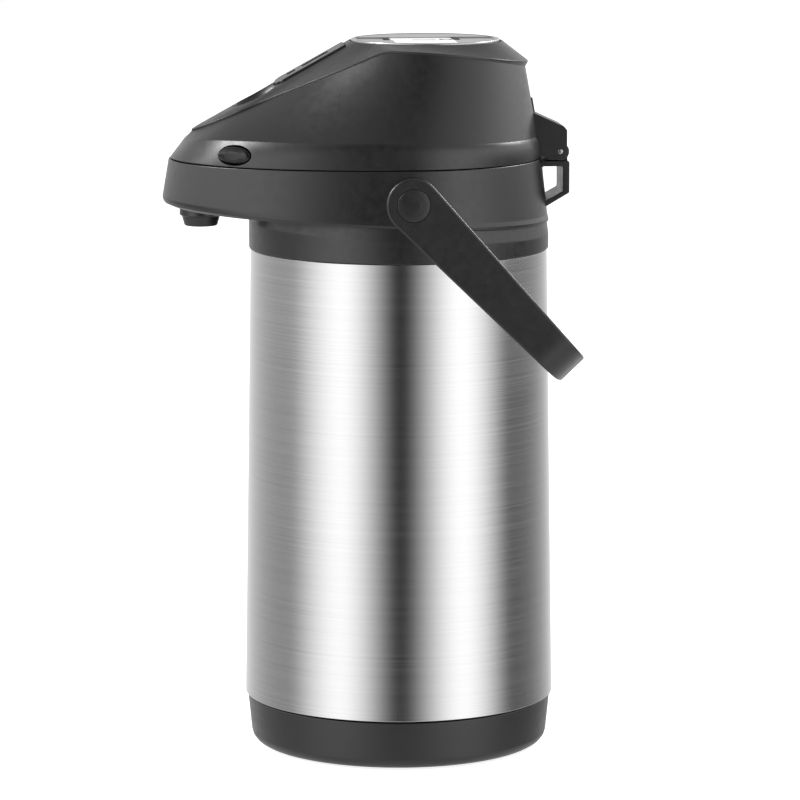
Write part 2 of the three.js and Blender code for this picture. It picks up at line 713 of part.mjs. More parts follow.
function lidBonnet() {
  const inner = inset(crown, 4.6, 3.4);
  const skin = loft([
    inset(crown, 0, 1.6), crown, buttonHole(SLOPE.head[1]), buttonHole(SLOPE.head[1] - 2.4), inner,
    inset(crown, 0, 1.6),
  ]);
  const trayDepth = SCOOP.depth + 3.5;
  const tray = tongue(4, 16, -trayDepth, -1.5);
  const under = loft([
    spot(-60, 320), inner, inset(crown, 1.5, 0.8), buttonHole(SLOPE.head[1] - 0.6),
    spot(BUTTON.y, SLOPE.head[1]),
  ]);
  const hole = post(BUTTON.hole + 3.2, 0, BUTTON.y, [330, 380], ROUND_STEPS);
  const backing = cut(overlap(tray, under), hole);
  return cut(
    join(skin, backing),
    tongue(0.4, SLIDER_TRAVEL, -SLIDER.depth - GAP, 8),
    fingerScoop(),
  );
}

function lockSlider() {
  const dent = onSlope(box([-7, 7], [-12, -6], [SLIDER.proud - 0.5, 3]));
  return cut(tongue(0, 0, -SLIDER.depth, SLIDER.proud), dent);
}

// Moves a latch part, made with +X as its pushing direction's outside, to one side of the lid.
function placeLatch(geometry, side) {
  geometry.rotateZ(radians(-LATCH.turn));
  geometry.translate(LATCH.x, LATCH.y, LATCH.z);
  if (side < 0) {
    geometry.scale(-1, 1, 1);
    return clean(geometry);
  }
  return geometry;
}

// The oval cap of a release button, along X, with its axis through the middle of its face.
function latchButton(spare, x) {
  const geometry = new THREE.CylinderGeometry(1, 1, x[1] - x[0], 20);
  geometry.rotateZ(Math.PI / 2);
  geometry.scale(1, LATCH.length / 2 + spare, LATCH.height / 2 + spare);
  geometry.translate((x[0] + x[1]) / 2, 0, 0);
  return geometry;
}

const HOOK = { inner: -9.5, outer: -7.5, lip: 2.2, half: 4 };

// The slot that a latch hook passes through, in the lid's floor or the deck.
function latchSlot(z) {
  return box(
    [HOOK.inner - LATCH_TRAVEL - 0.6, HOOK.outer + 0.4], [-HOOK.half - 0.6, HOOK.half + 0.6],
    [z[0] - LATCH.z, z[1] - LATCH.z]);
}

function releaseButton(side) {
  const hookLow = 302.2 - LATCH.z;
  const underDeck = DECK.low - GAP - LATCH.z;
  const dome = new THREE.SphereGeometry(1, 20, 6);
  dome.scale(2.2, LATCH.length / 2, LATCH.height / 2);
  const cap = join(latchButton(0, [-8, 0.4]), dome);
  const arm = box([HOOK.inner, HOOK.outer], [-HOOK.half, HOOK.half], [hookLow, 3]);
  const lip = box(
    [HOOK.outer - 0.5, HOOK.outer + HOOK.lip], [-HOOK.half, HOOK.half], [hookLow, underDeck]);
  return placeLatch(join(cap, arm, lip), side);
}

function latchSpring(side) {
  const spring = coilSpring(2.6, 0.35, 4, 6, 8, 4);
  spring.rotateY(-Math.PI / 2);
  spring.translate(HOOK.inner - 0.7, 0, 0);
  return placeLatch(spring, side);
}

// The plate that closes the lid from below, with a rib behind each latch spring.
function lidFloor() {
  const outline = (z) => inset(lidFoot, WALL + 1 + 1.1 * (z - FLOOR.low), SEAM + GAP / 2 - z);
  const ribs = [1, -1].map((side) => placeLatch(
    box([HOOK.inner - 9.4, HOOK.inner - 7.4], [-5, 5], [FLOOR.low + 0.5 - LATCH.z, 3.5]), side));
  return cut(
    join(loftedPlate(outline, FLOOR.low, FLOOR.high), ...ribs),
    post(26.6, 0, MOUTH.y, [310, 320], INNER_STEPS),
    ...LID_SCREWS.map(([x, y]) => post(2, x, y, [310, 320], 8)),
    ...[1, -1].flatMap((side) => [
      placeLatch(latchSlot([FLOOR.low - 1, FLOOR.high + 1]), side),
      placeLatch(latchButton(0.8, [-12.5, 8]), side),
    ]),
  );
}

function hingePin() {
  return clean(crossBar(HINGE.pin, [-HINGE.width / 2, HINGE.width / 2], HINGE.y, HINGE.z, 16));
}

// ---------------------------------------------------------------- stopper and pump
function stopper() {
  return turnedRing([
    [5, 300.3], [22.5, 300.3], [24.4, 309.2], [24.4, 311.8], [30, 311.8], [30, FLOOR.low - GAP],
    [26, FLOOR.low - GAP], [26, 317.2], [17, 317.2], [17, 303], [5, 303],
  ], { y: MOUTH.y });
}

function stopperGasket() {
  return tube(24.8, 29.8, DECK.high + GAP, 311.5, { y: MOUTH.y });
}

function airFlap() {
  return turned([[0, 298.4], [9, 298.9], [9, 300], [3, 300], [3, 304], [0, 304]], { y: MOUTH.y });
}

const BELLOWS = { low: 317.6, high: 352, inner: 23, outer: 32, folds: 4, thickness: 1.3 };

function bellows() {
  const pitch = (BELLOWS.high - BELLOWS.low) / BELLOWS.folds;
  const outside = [[BELLOWS.inner + 1, BELLOWS.low]];
  for (let i = 0; i < BELLOWS.folds; i += 1) {
    const low = BELLOWS.low + pitch * i;
    outside.push([BELLOWS.outer, low + pitch / 2], [BELLOWS.inner + 1, low + pitch]);
  }
  const inside = outside.map(([radius, z]) => [radius - BELLOWS.thickness, z]).reverse();
  return turnedRing([...outside, ...inside], { y: BUTTON.y });
}

function pumpSpring() {
  const spring = coilSpring(18.5, 1, 5, 31.5, 12, 4);
  spring.translate(0, BUTTON.y, BELLOWS.low + 1.2);
  return spring;
}

function bellowsCap() {
  return disc(30, BELLOWS.high + GAP, 355, { y: BUTTON.y });
}

function bellowsHousing() {
  return turnedRing([
    [35, FLOOR.high + GAP], [47, FLOOR.high + GAP], [47, 319], [42.6, 319], [42.6, 362], [40.7, 362],
    [40.7, 319], [35, 319],
  ], { y: BUTTON.y });
}

function pumpButton() {
  const top = PLATE.low - GAP;
  return turned([
    [0, 355 + GAP], [14, 355 + GAP], [14, 369], [36.6, 369], [36.6, 347], [38.6, 347],
    [BUTTON.radius, 350], [BUTTON.radius, top], [0, top],
  ], { y: BUTTON.y, steps: ROUND_STEPS });
}

// Pressed metal plate with a rolled edge, and a shallow channel along its middle.
function buttonPlate() {
  const flat = BUTTON.top - PLATE.rim;
  const plate = turned([
    [0, PLATE.low], [BUTTON.radius, PLATE.low], [BUTTON.radius, BUTTON.top - 0.4],
    [BUTTON.radius - 0.4, BUTTON.top], [BUTTON.radius - 1.6, BUTTON.top],
    [BUTTON.radius - 2.2, flat], [0, flat],
  ], { y: BUTTON.y, steps: ROUND_STEPS });
  const across = [-PLATE.channelHalf, PLATE.channelHalf];
  const along = [BUTTON.y - PLATE.channelReach, BUTTON.y + PLATE.channelReach];
  return cut(plate, box(across, along, [BUTTON.top - PLATE.channelDepth, BUTTON.top + 1]));
}

// ---------------------------------------------------------------- assembly
addPiece('foot_pad', 'rubber', footPad());
addPiece('base_cup', 'black', baseCup());
addPiece('outer_shell', 'steel', outerShell());
addPiece('shell_bottom', 'steel', shellBottom());
addPiece('inner_liner', 'steel', innerLiner());
addPiece('neck_gasket', 'silicone', neckGasket());
addPiece('mouth_ring', 'grey', mouthRing());
addPiece('dip_tube', 'steel', dipTube());
addPiece('tube_seal', 'silicone', tubeSeal());
addPiece('outlet_elbow', 'grey', outletElbow());
addPiece('valve_housing', 'grey', valveHousing());
addPiece('valve_ball', 'steel', valveBall());
addPiece('spout_hose', 'silicone', spoutHose());
addPiece('nozzle', 'black', nozzle());
addPiece('shoulder_housing', 'black', shoulderHousing());
addPiece('deck_plate', 'grey', deckPlate());
DECK_SCREWS.forEach(([x, y], i) => {
  addPiece(`deck_screw_${i + 1}`, 'steel', screw(x, y, DECK.high, 1, 9));
});
for (const [side, name] of [[1, 'right'], [-1, 'left']]) {
  addPiece(`pivot_stud_${name}`, 'steel', pivotStud(side));
  addPiece(`pivot_cap_${name}`, 'black', pivotCap(side));
  addPiece(`release_button_${name}`, 'glossBlack', releaseButton(side));
  addPiece(`latch_spring_${name}`, 'steel', latchSpring(side));
}
addPiece('handle', 'black', handle());
addPiece('lid_skirt', 'black', lidSkirt());
addPiece('lid_bonnet', 'black', lidBonnet());
addPiece('lid_floor', 'grey', lidFloor());
LID_SCREWS.forEach(([x, y], i) => {
  addPiece(`lid_screw_${i + 1}`, 'steel', screw(x, y, FLOOR.low, -1, 8));
});
addPiece('hinge_pin', 'steel', hingePin());
addPiece('stopper', 'grey', stopper());
addPiece('stopper_gasket', 'silicone', stopperGasket());
addPiece('air_flap', 'silicone', airFlap());
addPiece('bellows', 'rubber', bellows());
addPiece('pump_spring', 'steel', pumpSpring());
addPiece('bellows_cap', 'grey', bellowsCap());
addPiece('bellows_housing', 'grey', bellowsHousing());
addPiece('pump_button', 'black', pumpButton());
addPiece('button_plate', 'silver', buttonPlate());
addPiece('lock_slider', 'black', lockSlider());

export default airpot;
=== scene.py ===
"""Thermal coffee airpot: the looks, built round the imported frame.

Lengths in this script are millimetres until a mesh is made. +Z is up, the spout points
along -Y, and the right side is +X.
"""
import json
import math

import bmesh
import bpy
from mathutils import Matrix, Vector


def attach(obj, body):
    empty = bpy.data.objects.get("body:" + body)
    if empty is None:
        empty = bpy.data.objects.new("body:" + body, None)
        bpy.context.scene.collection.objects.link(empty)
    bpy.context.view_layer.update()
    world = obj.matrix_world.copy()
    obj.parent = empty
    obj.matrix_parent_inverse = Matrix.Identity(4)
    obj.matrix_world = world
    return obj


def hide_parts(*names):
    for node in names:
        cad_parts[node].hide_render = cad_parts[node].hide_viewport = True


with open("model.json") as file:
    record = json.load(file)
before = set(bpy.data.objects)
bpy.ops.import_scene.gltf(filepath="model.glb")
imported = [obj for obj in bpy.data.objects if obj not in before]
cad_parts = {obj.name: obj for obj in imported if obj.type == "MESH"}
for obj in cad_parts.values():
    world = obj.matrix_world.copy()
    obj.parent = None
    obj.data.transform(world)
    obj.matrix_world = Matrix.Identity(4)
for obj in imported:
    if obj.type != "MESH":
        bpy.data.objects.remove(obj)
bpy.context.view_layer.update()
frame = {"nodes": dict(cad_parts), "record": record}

MM = 0.001  # metres in a millimetre
GAP = 0.3  # clearance between neighbouring pieces

# ------------------------------------------------------------------ driving dimensions
FOOT_RADIUS, FOOT_HIGH = 58.0, 2.2
BASE_TOP = 26.2
SHELL_FOOT = (82.0, 27.0)
SHELL_HEAD = (78.2, 264.9)
NECK_RADIUS = 41.0
NECK_TOP = 292.0
LINER_RADIUS = 72.0
LINER_FLOOR = 38.0
COLLAR_RADIUS = 79.0
COLLAR_FOOT = 265.2
SEAM = 313.0
WALL = 2.5
BLUNTNESS = 0.91
DECK_LOW, DECK_HIGH = 307.0, 309.5
FLOOR_LOW, FLOOR_HIGH = 313.9, 316.4
MOUTH_Y, MOUTH_RADIUS, MOUTH_COLLAR, TUBE_Y = 14.0, 25.6, 30.5, -26.0
NOZZLE_Y, NOZZLE_LOW = -104.3, 277.5
BUTTON_Y, BUTTON_RADIUS, BUTTON_TOP, BUTTON_HOLE = 14.0, 39.0, 375.0, 39.8
PLATE_LOW = 373.2
HINGE_Y, HINGE_Z, HINGE_HALF, KNUCKLE, BOSS, PIN = 84.0, 316.0, 14.0, 4.5, 4.7, 1.5
HINGE_MIDDLE = 9.0
STRAP_TOP = HINGE_Z - BOSS - GAP
PIVOT_Z, PIVOT_REACH, ARM_THICKNESS = 296.5, 83.0, 6.5
HANDLE_DROP = 46.4
SLOPE_FOOT, SLOPE_HEAD = (-109.5, 328.0), (-25.8, 374.3)
SLOPE_ANGLE = math.atan2(SLOPE_HEAD[1] - SLOPE_FOOT[1], SLOPE_HEAD[0] - SLOPE_FOOT[0])
SLIDER_HALF, SLIDER_UPPER, SLIDER_LOWER, SLIDER_TRAVEL = 11.0, 29.0, 65.5, 8.5
SLIDER_PROUD, SLIDER_DEPTH = 0.2, 2.4
SCOOP_FRONT, SCOOP_HALF, SCOOP_LENGTH, SCOOP_DEPTH, SCOOP_RISE = 74.0, 15.0, 16.0, 8.5, 1.0
LATCH_X, LATCH_Y, LATCH_Z, LATCH_TURN = 51.9, -89.0, 319.3, 33.0
LATCH_LENGTH, LATCH_HEIGHT = 19.5, 9.0
DECK_SCREWS = [(49, 49), (-49, 49), (38, -78), (-38, -78)]
LID_SCREWS = [(68, 22), (-68, 22), (35, -96), (-35, -96)]

UNIT = 1000.0  # radius of a piece that is turned big and then scaled to an oval
AROUND = 256  # points round the lid and the shoulder
TURNED_STEPS = 192  # points round a turned piece


# ------------------------------------------------------------------ meshes
def add_object(name, vertices, faces):
    mesh = bpy.data.meshes.new(name)
    mesh.from_pydata([Vector(v) * MM for v in vertices], [], faces)
    mesh.validate()
    piece = bpy.data.objects.new(name, mesh)
    bpy.context.scene.collection.objects.link(piece)
    return piece


def edit(piece, work):
    """Runs work(bm) on the piece's mesh."""
    bm = bmesh.new()
    bm.from_mesh(piece.data)
    work(bm)
    bm.to_mesh(piece.data)
    bm.free()


def weld(bm):
    bmesh.ops.remove_doubles(bm, verts=bm.verts, dist=0.004 * MM)
    bmesh.ops.dissolve_degenerate(bm, edges=bm.edges, dist=0.002 * MM)
    bmesh.ops.recalc_face_normals(bm, faces=bm.faces)


def smooth(piece, crease=40.0):
    """Smooth shading, with the edges sharper than the crease angle left sharp."""
    def work(bm):
        for face in bm.faces:
            face.smooth = True
        for edge in bm.edges:
            sharp = len(edge.link_faces) == 2 and edge.calc_face_angle(0) > math.radians(crease)
            edge.smooth = not sharp

    edit(piece, work)
    weighted = piece.modifiers.new("even shading", "WEIGHTED_NORMAL")
    weighted.keep_sharp = True
    weighted.weight = 80
    return piece


def grid(name, rows, ring=True):
    """A skin through rows of points. Each row is closed; ring joins the last row to the first."""
    count = len(rows[0])
    vertices = [p for row in rows for p in row]
    faces = []
    for i in range(len(rows) if ring else len(rows) - 1):
        here, after = i * count, ((i + 1) % len(rows)) * count
        for j in range(count):
            k = (j + 1) % count
            faces.append((here + j, here + k, after + k, after + j))
    if not ring:
        faces.append(tuple(range(count))[::-1])
        faces.append(tuple(range(len(vertices) - count, len(vertices))))
    piece = add_object(name, vertices, faces)
    edit(piece, weld)
    return piece


def wrapped(name, rows):
    """A closed solid from rows that start and end on one line, with the last joined to the first."""
    count = len(rows[0])
    vertices = [p for row in rows for p in row]
    faces = []
    for i in range(len(rows)):
        here, after = i * count, ((i + 1) % len(rows)) * count
        faces += [(here + j, here + j + 1, after + j + 1, after + j) for j in range(count - 1)]
    piece = add_object(name, vertices, faces)
    edit(piece, weld)
    return piece


def corner(before, at, after, radius, steps):
    """The points of a round corner of that radius, or the corner itself if the radius is 0."""
    if radius <= 0:
        return [at]
    back, ahead = before - at, after - at
    room = 0.45 * min(back.length, ahead.length)
    back.normalize()
    ahead.normalize()
    half = back.angle(ahead, math.pi) / 2
    reach = max(0.01, min(radius / max(math.tan(half), 1e-6), room))
    weight = math.sin(half)
    first, last = at + back * reach, at + ahead * reach
    points = []
    for i in range(steps + 1):
        s = i / steps
        a, b, c = (1 - s) ** 2, 2 * s * (1 - s) * weight, s * s
        points.append((first * a + at * b + last * c) / (a + b + c))
    return points


def rounded(points, radii, steps=4, closed=True):
    """A polyline with its corners rounded: radii has one radius per corner, or is one number."""
    if not isinstance(radii, (list, tuple)):
        radii = [radii] * len(points)
    made = []
    for i, (at, radius) in enumerate(zip(points, radii)):
        inner = closed or 0 < i < len(points) - 1
        before, after = points[i - 1], points[(i + 1) % len(points)]
        made += corner(before, at, after, radius if inner else 0, steps)
    return made


def turned(name, profile, radii=0.4, y=0.0, steps=TURNED_STEPS, ring=False, crease=40.0):
    """A solid turned about the upright axis at y, from a profile of (radius, z)."""
    outline = rounded([Vector((r, 0, z)) for r, z in profile], radii, closed=ring)
    rows = []
    for i in range(steps):
        angle = 2 * math.pi * i / steps
        c, s = math.cos(angle), math.sin(angle)
        rows.append([Vector((p.x * s, y - p.x * c, p.z)) for p in outline])
    return smooth(grid(name, rows) if ring else wrapped(name, rows), crease)


def plug(name, radius, low, high, radii=0.0, **options):
    """An upright round bar."""
    return turned(name, [(0, low), (radius, low), (radius, high), (0, high)], radii, **options)


def joined(name, *pieces):
    """One object made of several closed pieces."""
    bm = bmesh.new()
    for piece in pieces:
        bm.from_mesh(piece.data)
    mesh = bpy.data.meshes.new(name)
    bm.to_mesh(mesh)
    bm.free()
    for piece in pieces:
        bpy.data.objects.remove(piece)
    whole = bpy.data.objects.new(name, mesh)
    bpy.context.scene.collection.objects.link(whole)
    return whole


def boolean(piece, tools, operation="DIFFERENCE"):
    """Cuts the tools out of the piece, or adds them to it, and removes the tools."""
    piece.modifiers.clear()
    for tool in tools:
        tool.modifiers.clear()
        step = piece.modifiers.new("boolean", "BOOLEAN")
        step.operation = operation
        step.solver = "EXACT"
        step.object = tool
    bpy.context.view_layer.update()
    evaluated = piece.evaluated_get(bpy.context.evaluated_depsgraph_get())
    mesh = bpy.data.meshes.new_from_object(evaluated)
    piece.modifiers.clear()
    piece.data = mesh
    for tool in tools:
        bpy.data.objects.remove(tool)
    edit(piece, weld)
    return piece


def place(piece, matrix):
    piece.data.transform(matrix)
    if matrix.determinant() < 0:
        edit(piece, lambda bm: bmesh.ops.reverse_faces(bm, faces=bm.faces))
    return piece


def shift(x=0.0, y=0.0, z=0.0):
    return Matrix.Translation(Vector((x, y, z)) * MM)


def slab(name, outline, low, high, radius=0.0, bevel=0.5, holes=()):
    """A flat plate from an outline of (x, y), between two heights, with bevelled edges."""
    curve = bpy.data.curves.new(name, "CURVE")
    curve.dimensions = "2D"
    curve.fill_mode = "BOTH"
    curve.extrude = ((high - low) / 2 - bevel) * MM
    curve.bevel_depth = bevel * MM
    curve.bevel_resolution = 2
    curve.offset = -bevel * MM
    for loop in (outline, *holes):
        points = rounded([Vector((x, y, 0)) for x, y in loop], radius)
        spline = curve.splines.new("POLY")
        spline.points.add(len(points) - 1)
        spline.use_cyclic_u = True
        for target, point in zip(spline.points, points):
            target.co = (*(point * MM), 1)
    holder = bpy.data.objects.new(name, curve)
    bpy.context.scene.collection.objects.link(holder)
    bpy.context.view_layer.update()
    evaluated = holder.evaluated_get(bpy.context.evaluated_depsgraph_get())
    mesh = bpy.data.meshes.new_from_object(evaluated)
    bpy.data.objects.remove(holder)
    piece = bpy.data.objects.new(name, mesh)
    bpy.context.scene.collection.objects.link(piece)
    edit(piece, weld)
    return place(piece, shift(z=(low + high) / 2))


SIDEWAYS = Matrix(((0, 0, 1, 0), (1, 0, 0, 0), (0, 1, 0, 0), (0, 0, 0, 1)))
TO_THE_LEFT = Matrix.Scale(-1, 4, Vector((1, 0, 0)))


def side_slab(name, outline, left, right, **options):
    """The same, from a side-view outline of (y, z), between two x values."""
    return place(slab(name, outline, left, right, **options), SIDEWAYS)


def bar(name, radius, left, right, y, z, bevel=0.4, steps=64):
    """A round bar along X with rounded ends."""
    piece = plug(name, radius, left, right, bevel, steps=steps)
    return place(piece, shift(y=y, z=z) @ SIDEWAYS)


# ------------------------------------------------------------------ outlines of the head
# Each outline is a function of h: 0 at the front, 0.5 where the slope turns level and 1 at
# the rear. It gives a point on the +X side, and the loft mirrors it.
CORNER_ANGLE = 84.0
SPINE_CORNER = 47.0


def spread(h, at_corner):
    return 2 * h * at_corner if h < 0.5 else at_corner + (180 - at_corner) * (2 * h - 1)


def egg(front, side, rear, height):
    def outline(h):
        angle = math.radians(spread(h, CORNER_ANGLE))
        c = math.cos(angle)
        y = -front * c ** BLUNTNESS if c > 0 else -rear * c
        return Vector((side * math.sin(angle), y, height(y)))
    return outline


def ring_outline(radius, height):
    def outline(h):
        angle = math.radians(spread(h, CORNER_ANGLE))
        y = -radius * math.cos(angle)
        return Vector((radius * math.sin(angle), y, height(y)))
    return outline


def level(z):
    return lambda y: z


FOLD_Z, FOLD_TILT = 283.2, 0.0455


def fold_height(above):
    """Height of the fold round the shoulder, which rises towards the spout."""
    return lambda y: FOLD_Z - FOLD_TILT * y + above


BELT_FRONT, BELT_SIDE, BELT_REAR, BELT_Z = 113.2, 76.0, 73.0, 326.8


def belt_height(y):
    """The belt line sinks a little towards the rear and runs out at the nose."""
    return BELT_Z - 0.035 * max(0.0, y) - 4.5 * max(0.0, -y / BELT_FRONT) ** 12


CORNER_Y = -11.4  # where the slope turns level
# The edge of the slope in plan, (x, y), from the spout to that corner.
SPINE = [Vector(p) for p in (
    (0, -109.5), (9, -103), (17, -88.5), (21.5, -72), (32, -54), (43, -33), (50, CORNER_Y))]
CROWN_SIDE, CROWN_REAR, CROWN_CORNER = 56.0, 54.0, 63.2
CROWN_FOOT_Z, CROWN_RISE, CROWN_CORNER_Z, CROWN_REAR_DROP = 328, 44.2, 372.2, 8.8


def spine_point(t):
    """A Catmull-Rom curve through the spine's points, evenly spaced in t."""
    place_along = t * (len(SPINE) - 1)
    i = min(int(place_along), len(SPINE) - 2)
    s = place_along - i
    p0, p1 = SPINE[max(i - 1, 0)], SPINE[i]
    p2, p3 = SPINE[i + 1], SPINE[min(i + 2, len(SPINE) - 1)]
    v0, v1 = (p2 - p0) / 2, (p3 - p1) / 2
    cubic = (2 * p1 - 2 * p2 + v0 + v1) * s ** 3
    return cubic + (-3 * p1 + 3 * p2 - 2 * v0 - v1) * s * s + v0 * s + p1


def crown_height(y):
    if y < CORNER_Y:
        return CROWN_FOOT_Z + CROWN_RISE * (y - SLOPE_FOOT[0]) / (CORNER_Y - SLOPE_FOOT[0])
    back = (y - CORNER_Y) / (BUTTON_Y + CROWN_REAR - CORNER_Y)
    return CROWN_CORNER_Z - CROWN_REAR_DROP * back ** 1.8


def sharp_crown(h):
    if h < 0.5:
        p = spine_point(2 * h)
        return Vector((p.x, p.y, crown_height(p.y)))
    angle = math.radians(CROWN_CORNER + (180 - CROWN_CORNER) * (2 * h - 1))
    reach = CROWN_SIDE if angle < math.pi / 2 else CROWN_REAR
    y = BUTTON_Y - reach * math.cos(angle)
    return Vector((CROWN_SIDE * math.sin(angle), y, crown_height(y)))


def mirrored(outline, h):
    """The outline at h, carried on past its ends on the other side."""
    if h < 0 or h > 1:
        p = outline(-h if h < 0 else 2 - h)
        return Vector((-p.x, p.y, p.z))
    return outline(h)


def crown(h, soften=0.022):
    """The crown line with its corner rounded a little."""
    offsets = [i / 4 for i in range(-4, 5)]
    total = sum((mirrored(sharp_crown, h + soften * o) for o in offsets), Vector((0, 0, 0)))
    return total / len(offsets)


def button_hole(radius, z):
    def outline(h):
        angle = math.radians(spread(h, SPINE_CORNER))
        return Vector((radius * math.sin(angle), BUTTON_Y - radius * math.cos(angle), z))
    return outline


def inset(outline, distance, drop=0.0):
    """The same outline moved inwards in plan, and down."""
    def moved(h):
        here = outline(h)
        ahead, behind = mirrored(outline, h + 1e-3), mirrored(outline, h - 1e-3)
        along = Vector((ahead.x - behind.x, ahead.y - behind.y)).normalized()
        return Vector((here.x - along.y * distance, here.y + along.x * distance, here.z - drop))
    return moved


def shrunk(outline, share, drop):
    """The same outline drawn in towards the middle of the lid, and down."""
    middle = Vector((0, -20, 0))
    return lambda h: middle + (outline(h) - middle) * share + Vector(
        (0, 0, outline(h).z * (1 - share) - drop))


def between(first, second, share):
    return lambda h: first(h).lerp(second(h), share)


def curved(first, control, second, count):
    """Outlines along a curve from the first to the second, pulled towards the control."""
    made = []
    for i in range(1, count):
        s = i / count
        made.append(lambda h, s=s: (
            first(h) * (1 - s) ** 2 + control(h) * 2 * s * (1 - s) + second(h) * s * s))
    return made


def spot(y, z):
    return lambda h: Vector((0, y, z))


def loft(name, stations, closed=True):
    """A skin through (outline, radius) stations. The radius rounds the skin there."""
    rows = []
    radii = [radius for outline, radius in stations]
    for i in range(AROUND):
        h = 2 * i / AROUND
        flip = h > 1
        points = [outline(2 - h if flip else h) for outline, radius in stations]
        row = rounded(points, radii, closed=closed)
        rows.append([Vector((-p.x, p.y, p.z)) if flip else p for p in row])
    return smooth(grid(name, rows) if closed else wrapped(name, rows))


# ------------------------------------------------------------------ material tools
def new_material(name):
    material = bpy.data.materials.new(name)
    material.use_nodes = True
    shader = material.node_tree.nodes["Principled BSDF"]
    return material, material.node_tree, shader


def node(tree, kind, **values):
    made = tree.nodes.new(kind)
    for key, value in values.items():
        setattr(made, key, value)
    return made


def object_vector(tree, scale=(1, 1, 1)):
    coordinates = node(tree, "ShaderNodeTexCoord")
    mapping = node(tree, "ShaderNodeMapping")
    mapping.inputs["Scale"].default_value = scale
    tree.links.new(coordinates.outputs["Object"], mapping.inputs["Vector"])
    return mapping.outputs["Vector"]


def noise(tree, vector, scale, detail=2.0, roughness=0.5):
    made = node(tree, "ShaderNodeTexNoise")
    made.inputs["Scale"].default_value = scale
    made.inputs["Detail"].default_value = detail
    made.inputs["Roughness"].default_value = roughness
    tree.links.new(vector, made.inputs["Vector"])
    return made.outputs["Fac"]


def mapped(tree, value, low, high, source=(0.3, 0.7)):
    made = node(tree, "ShaderNodeMapRange")
    made.inputs["From Min"].default_value = source[0]
    made.inputs["From Max"].default_value = source[1]
    made.inputs["To Min"].default_value = low
    made.inputs["To Max"].default_value = high
    tree.links.new(value, made.inputs["Value"])
    return made.outputs["Result"]


def mixed_colour(tree, value, first, second):
    made = node(tree, "ShaderNodeMix", data_type="RGBA")
    made.inputs["A"].default_value = (*first, 1)
    made.inputs["B"].default_value = (*second, 1)
    tree.links.new(value, made.inputs["Factor"])
    return made.outputs["Result"]


def bump(tree, shader, height, distance):
    made = node(tree, "ShaderNodeBump")
    made.inputs["Distance"].default_value = distance * MM
    made.inputs["Strength"].default_value = 1.0
    tree.links.new(height, made.inputs["Height"])
    tree.links.new(made.outputs["Normal"], shader.inputs["Normal"])


def moulded(name, dark, light, gloss, grain=0.02, grain_scale=1400, specular=0.5):
    """Moulded plastic: a fine grain, a slow change of gloss and a little change of colour."""
    material, tree, shader = new_material(name)
    vector = object_vector(tree)
    patches = noise(tree, vector, 60, 3)
    fine = noise(tree, vector, grain_scale, 2)
    tree.links.new(mixed_colour(tree, patches, dark, light), shader.inputs["Base Color"])
    rough = mapped(tree, noise(tree, vector, 240, 3), *gloss)
    tree.links.new(rough, shader.inputs["Roughness"])
    shader.inputs["Specular IOR Level"].default_value = specular
    bump(tree, shader, fine, grain)
    return material


def brushed(name, dark, light, gloss, axis="Z", lines=2600, anisotropy=0.8, depth=0.002):
    """Metal brushed round its axis: fine lines that change the colour, gloss and height."""
    material, tree, shader = new_material(name)
    across = {"Z": (5, 5, lines), "FLAT": (lines, 12, 12)}[axis]
    streaks = noise(tree, object_vector(tree, across), 1.0, 3, 0.65)
    line_range = (0.35, 0.65)
    colour = mixed_colour(tree, mapped(tree, streaks, 0, 1, line_range), dark, light)
    tree.links.new(colour, shader.inputs["Base Color"])
    tree.links.new(mapped(tree, streaks, *gloss, line_range), shader.inputs["Roughness"])
    shader.inputs["Metallic"].default_value = 1
    shader.inputs["Anisotropic"].default_value = anisotropy
    shader.inputs["Anisotropic Rotation"].default_value = 0.25
    if axis == "Z":
        tangent = node(tree, "ShaderNodeTangent", direction_type="RADIAL", axis="Z")
        tree.links.new(tangent.outputs["Tangent"], shader.inputs["Tangent"])
    bump(tree, shader, streaks, depth)
    return material


def soft(name, dark, light, gloss=(0.6, 0.8), see_through=0.0):
    """Rubber or silicone: matt, with a dusty change of colour and a faint skin."""
    material, tree, shader = new_material(name)
    vector = object_vector(tree)
    colour = mixed_colour(tree, noise(tree, vector, 120, 4), dark, light)
    tree.links.new(colour, shader.inputs["Base Color"])
    tree.links.new(mapped(tree, noise(tree, vector, 500, 2), *gloss), shader.inputs["Roughness"])
    shader.inputs["Subsurface Weight"].default_value = see_through
    bump(tree, shader, noise(tree, vector, 1800, 2), 0.02)
    return material


def grey(low, high, warmth=0.0):
    """A dark and a light neutral colour, a little warmer if warmth is above 0."""
    return [(v, v * (1 - warmth), v * (1 - 3 * warmth)) for v in (low, high)]


MATERIALS = {
    "brushed_shell": brushed("brushed_shell", *grey(0.61, 0.65), (0.16, 0.19), anisotropy=0.9),
    "liner_steel": brushed("liner_steel", *grey(0.5, 0.6), (0.3, 0.4), lines=1200),
    "polished_steel": brushed("polished_steel", *grey(0.62, 0.72), (0.12, 0.2), lines=900),
    "pressed_plate": brushed(
        "pressed_plate", *grey(0.46, 0.54), (0.3, 0.38), axis="FLAT", anisotropy=0),
    "black_plastic": moulded("black_plastic", *grey(0.0022, 0.0036), (0.31, 0.39), specular=0.78),
    "gloss_black": moulded("gloss_black", *grey(0.003, 0.005), (0.08, 0.14), 0.002, 500),
    "grey_plastic": moulded("grey_plastic", *grey(0.06, 0.075), (0.4, 0.5)),
    "label_white": moulded("label_white", *grey(0.86, 0.92), (0.4, 0.5), 0.004),
    "base_rubber": soft("base_rubber", *grey(0.012, 0.022)),
    "silicone_seal": soft("silicone_seal", *grey(0.5, 0.62, 0.03), (0.45, 0.6), 0.15),
}


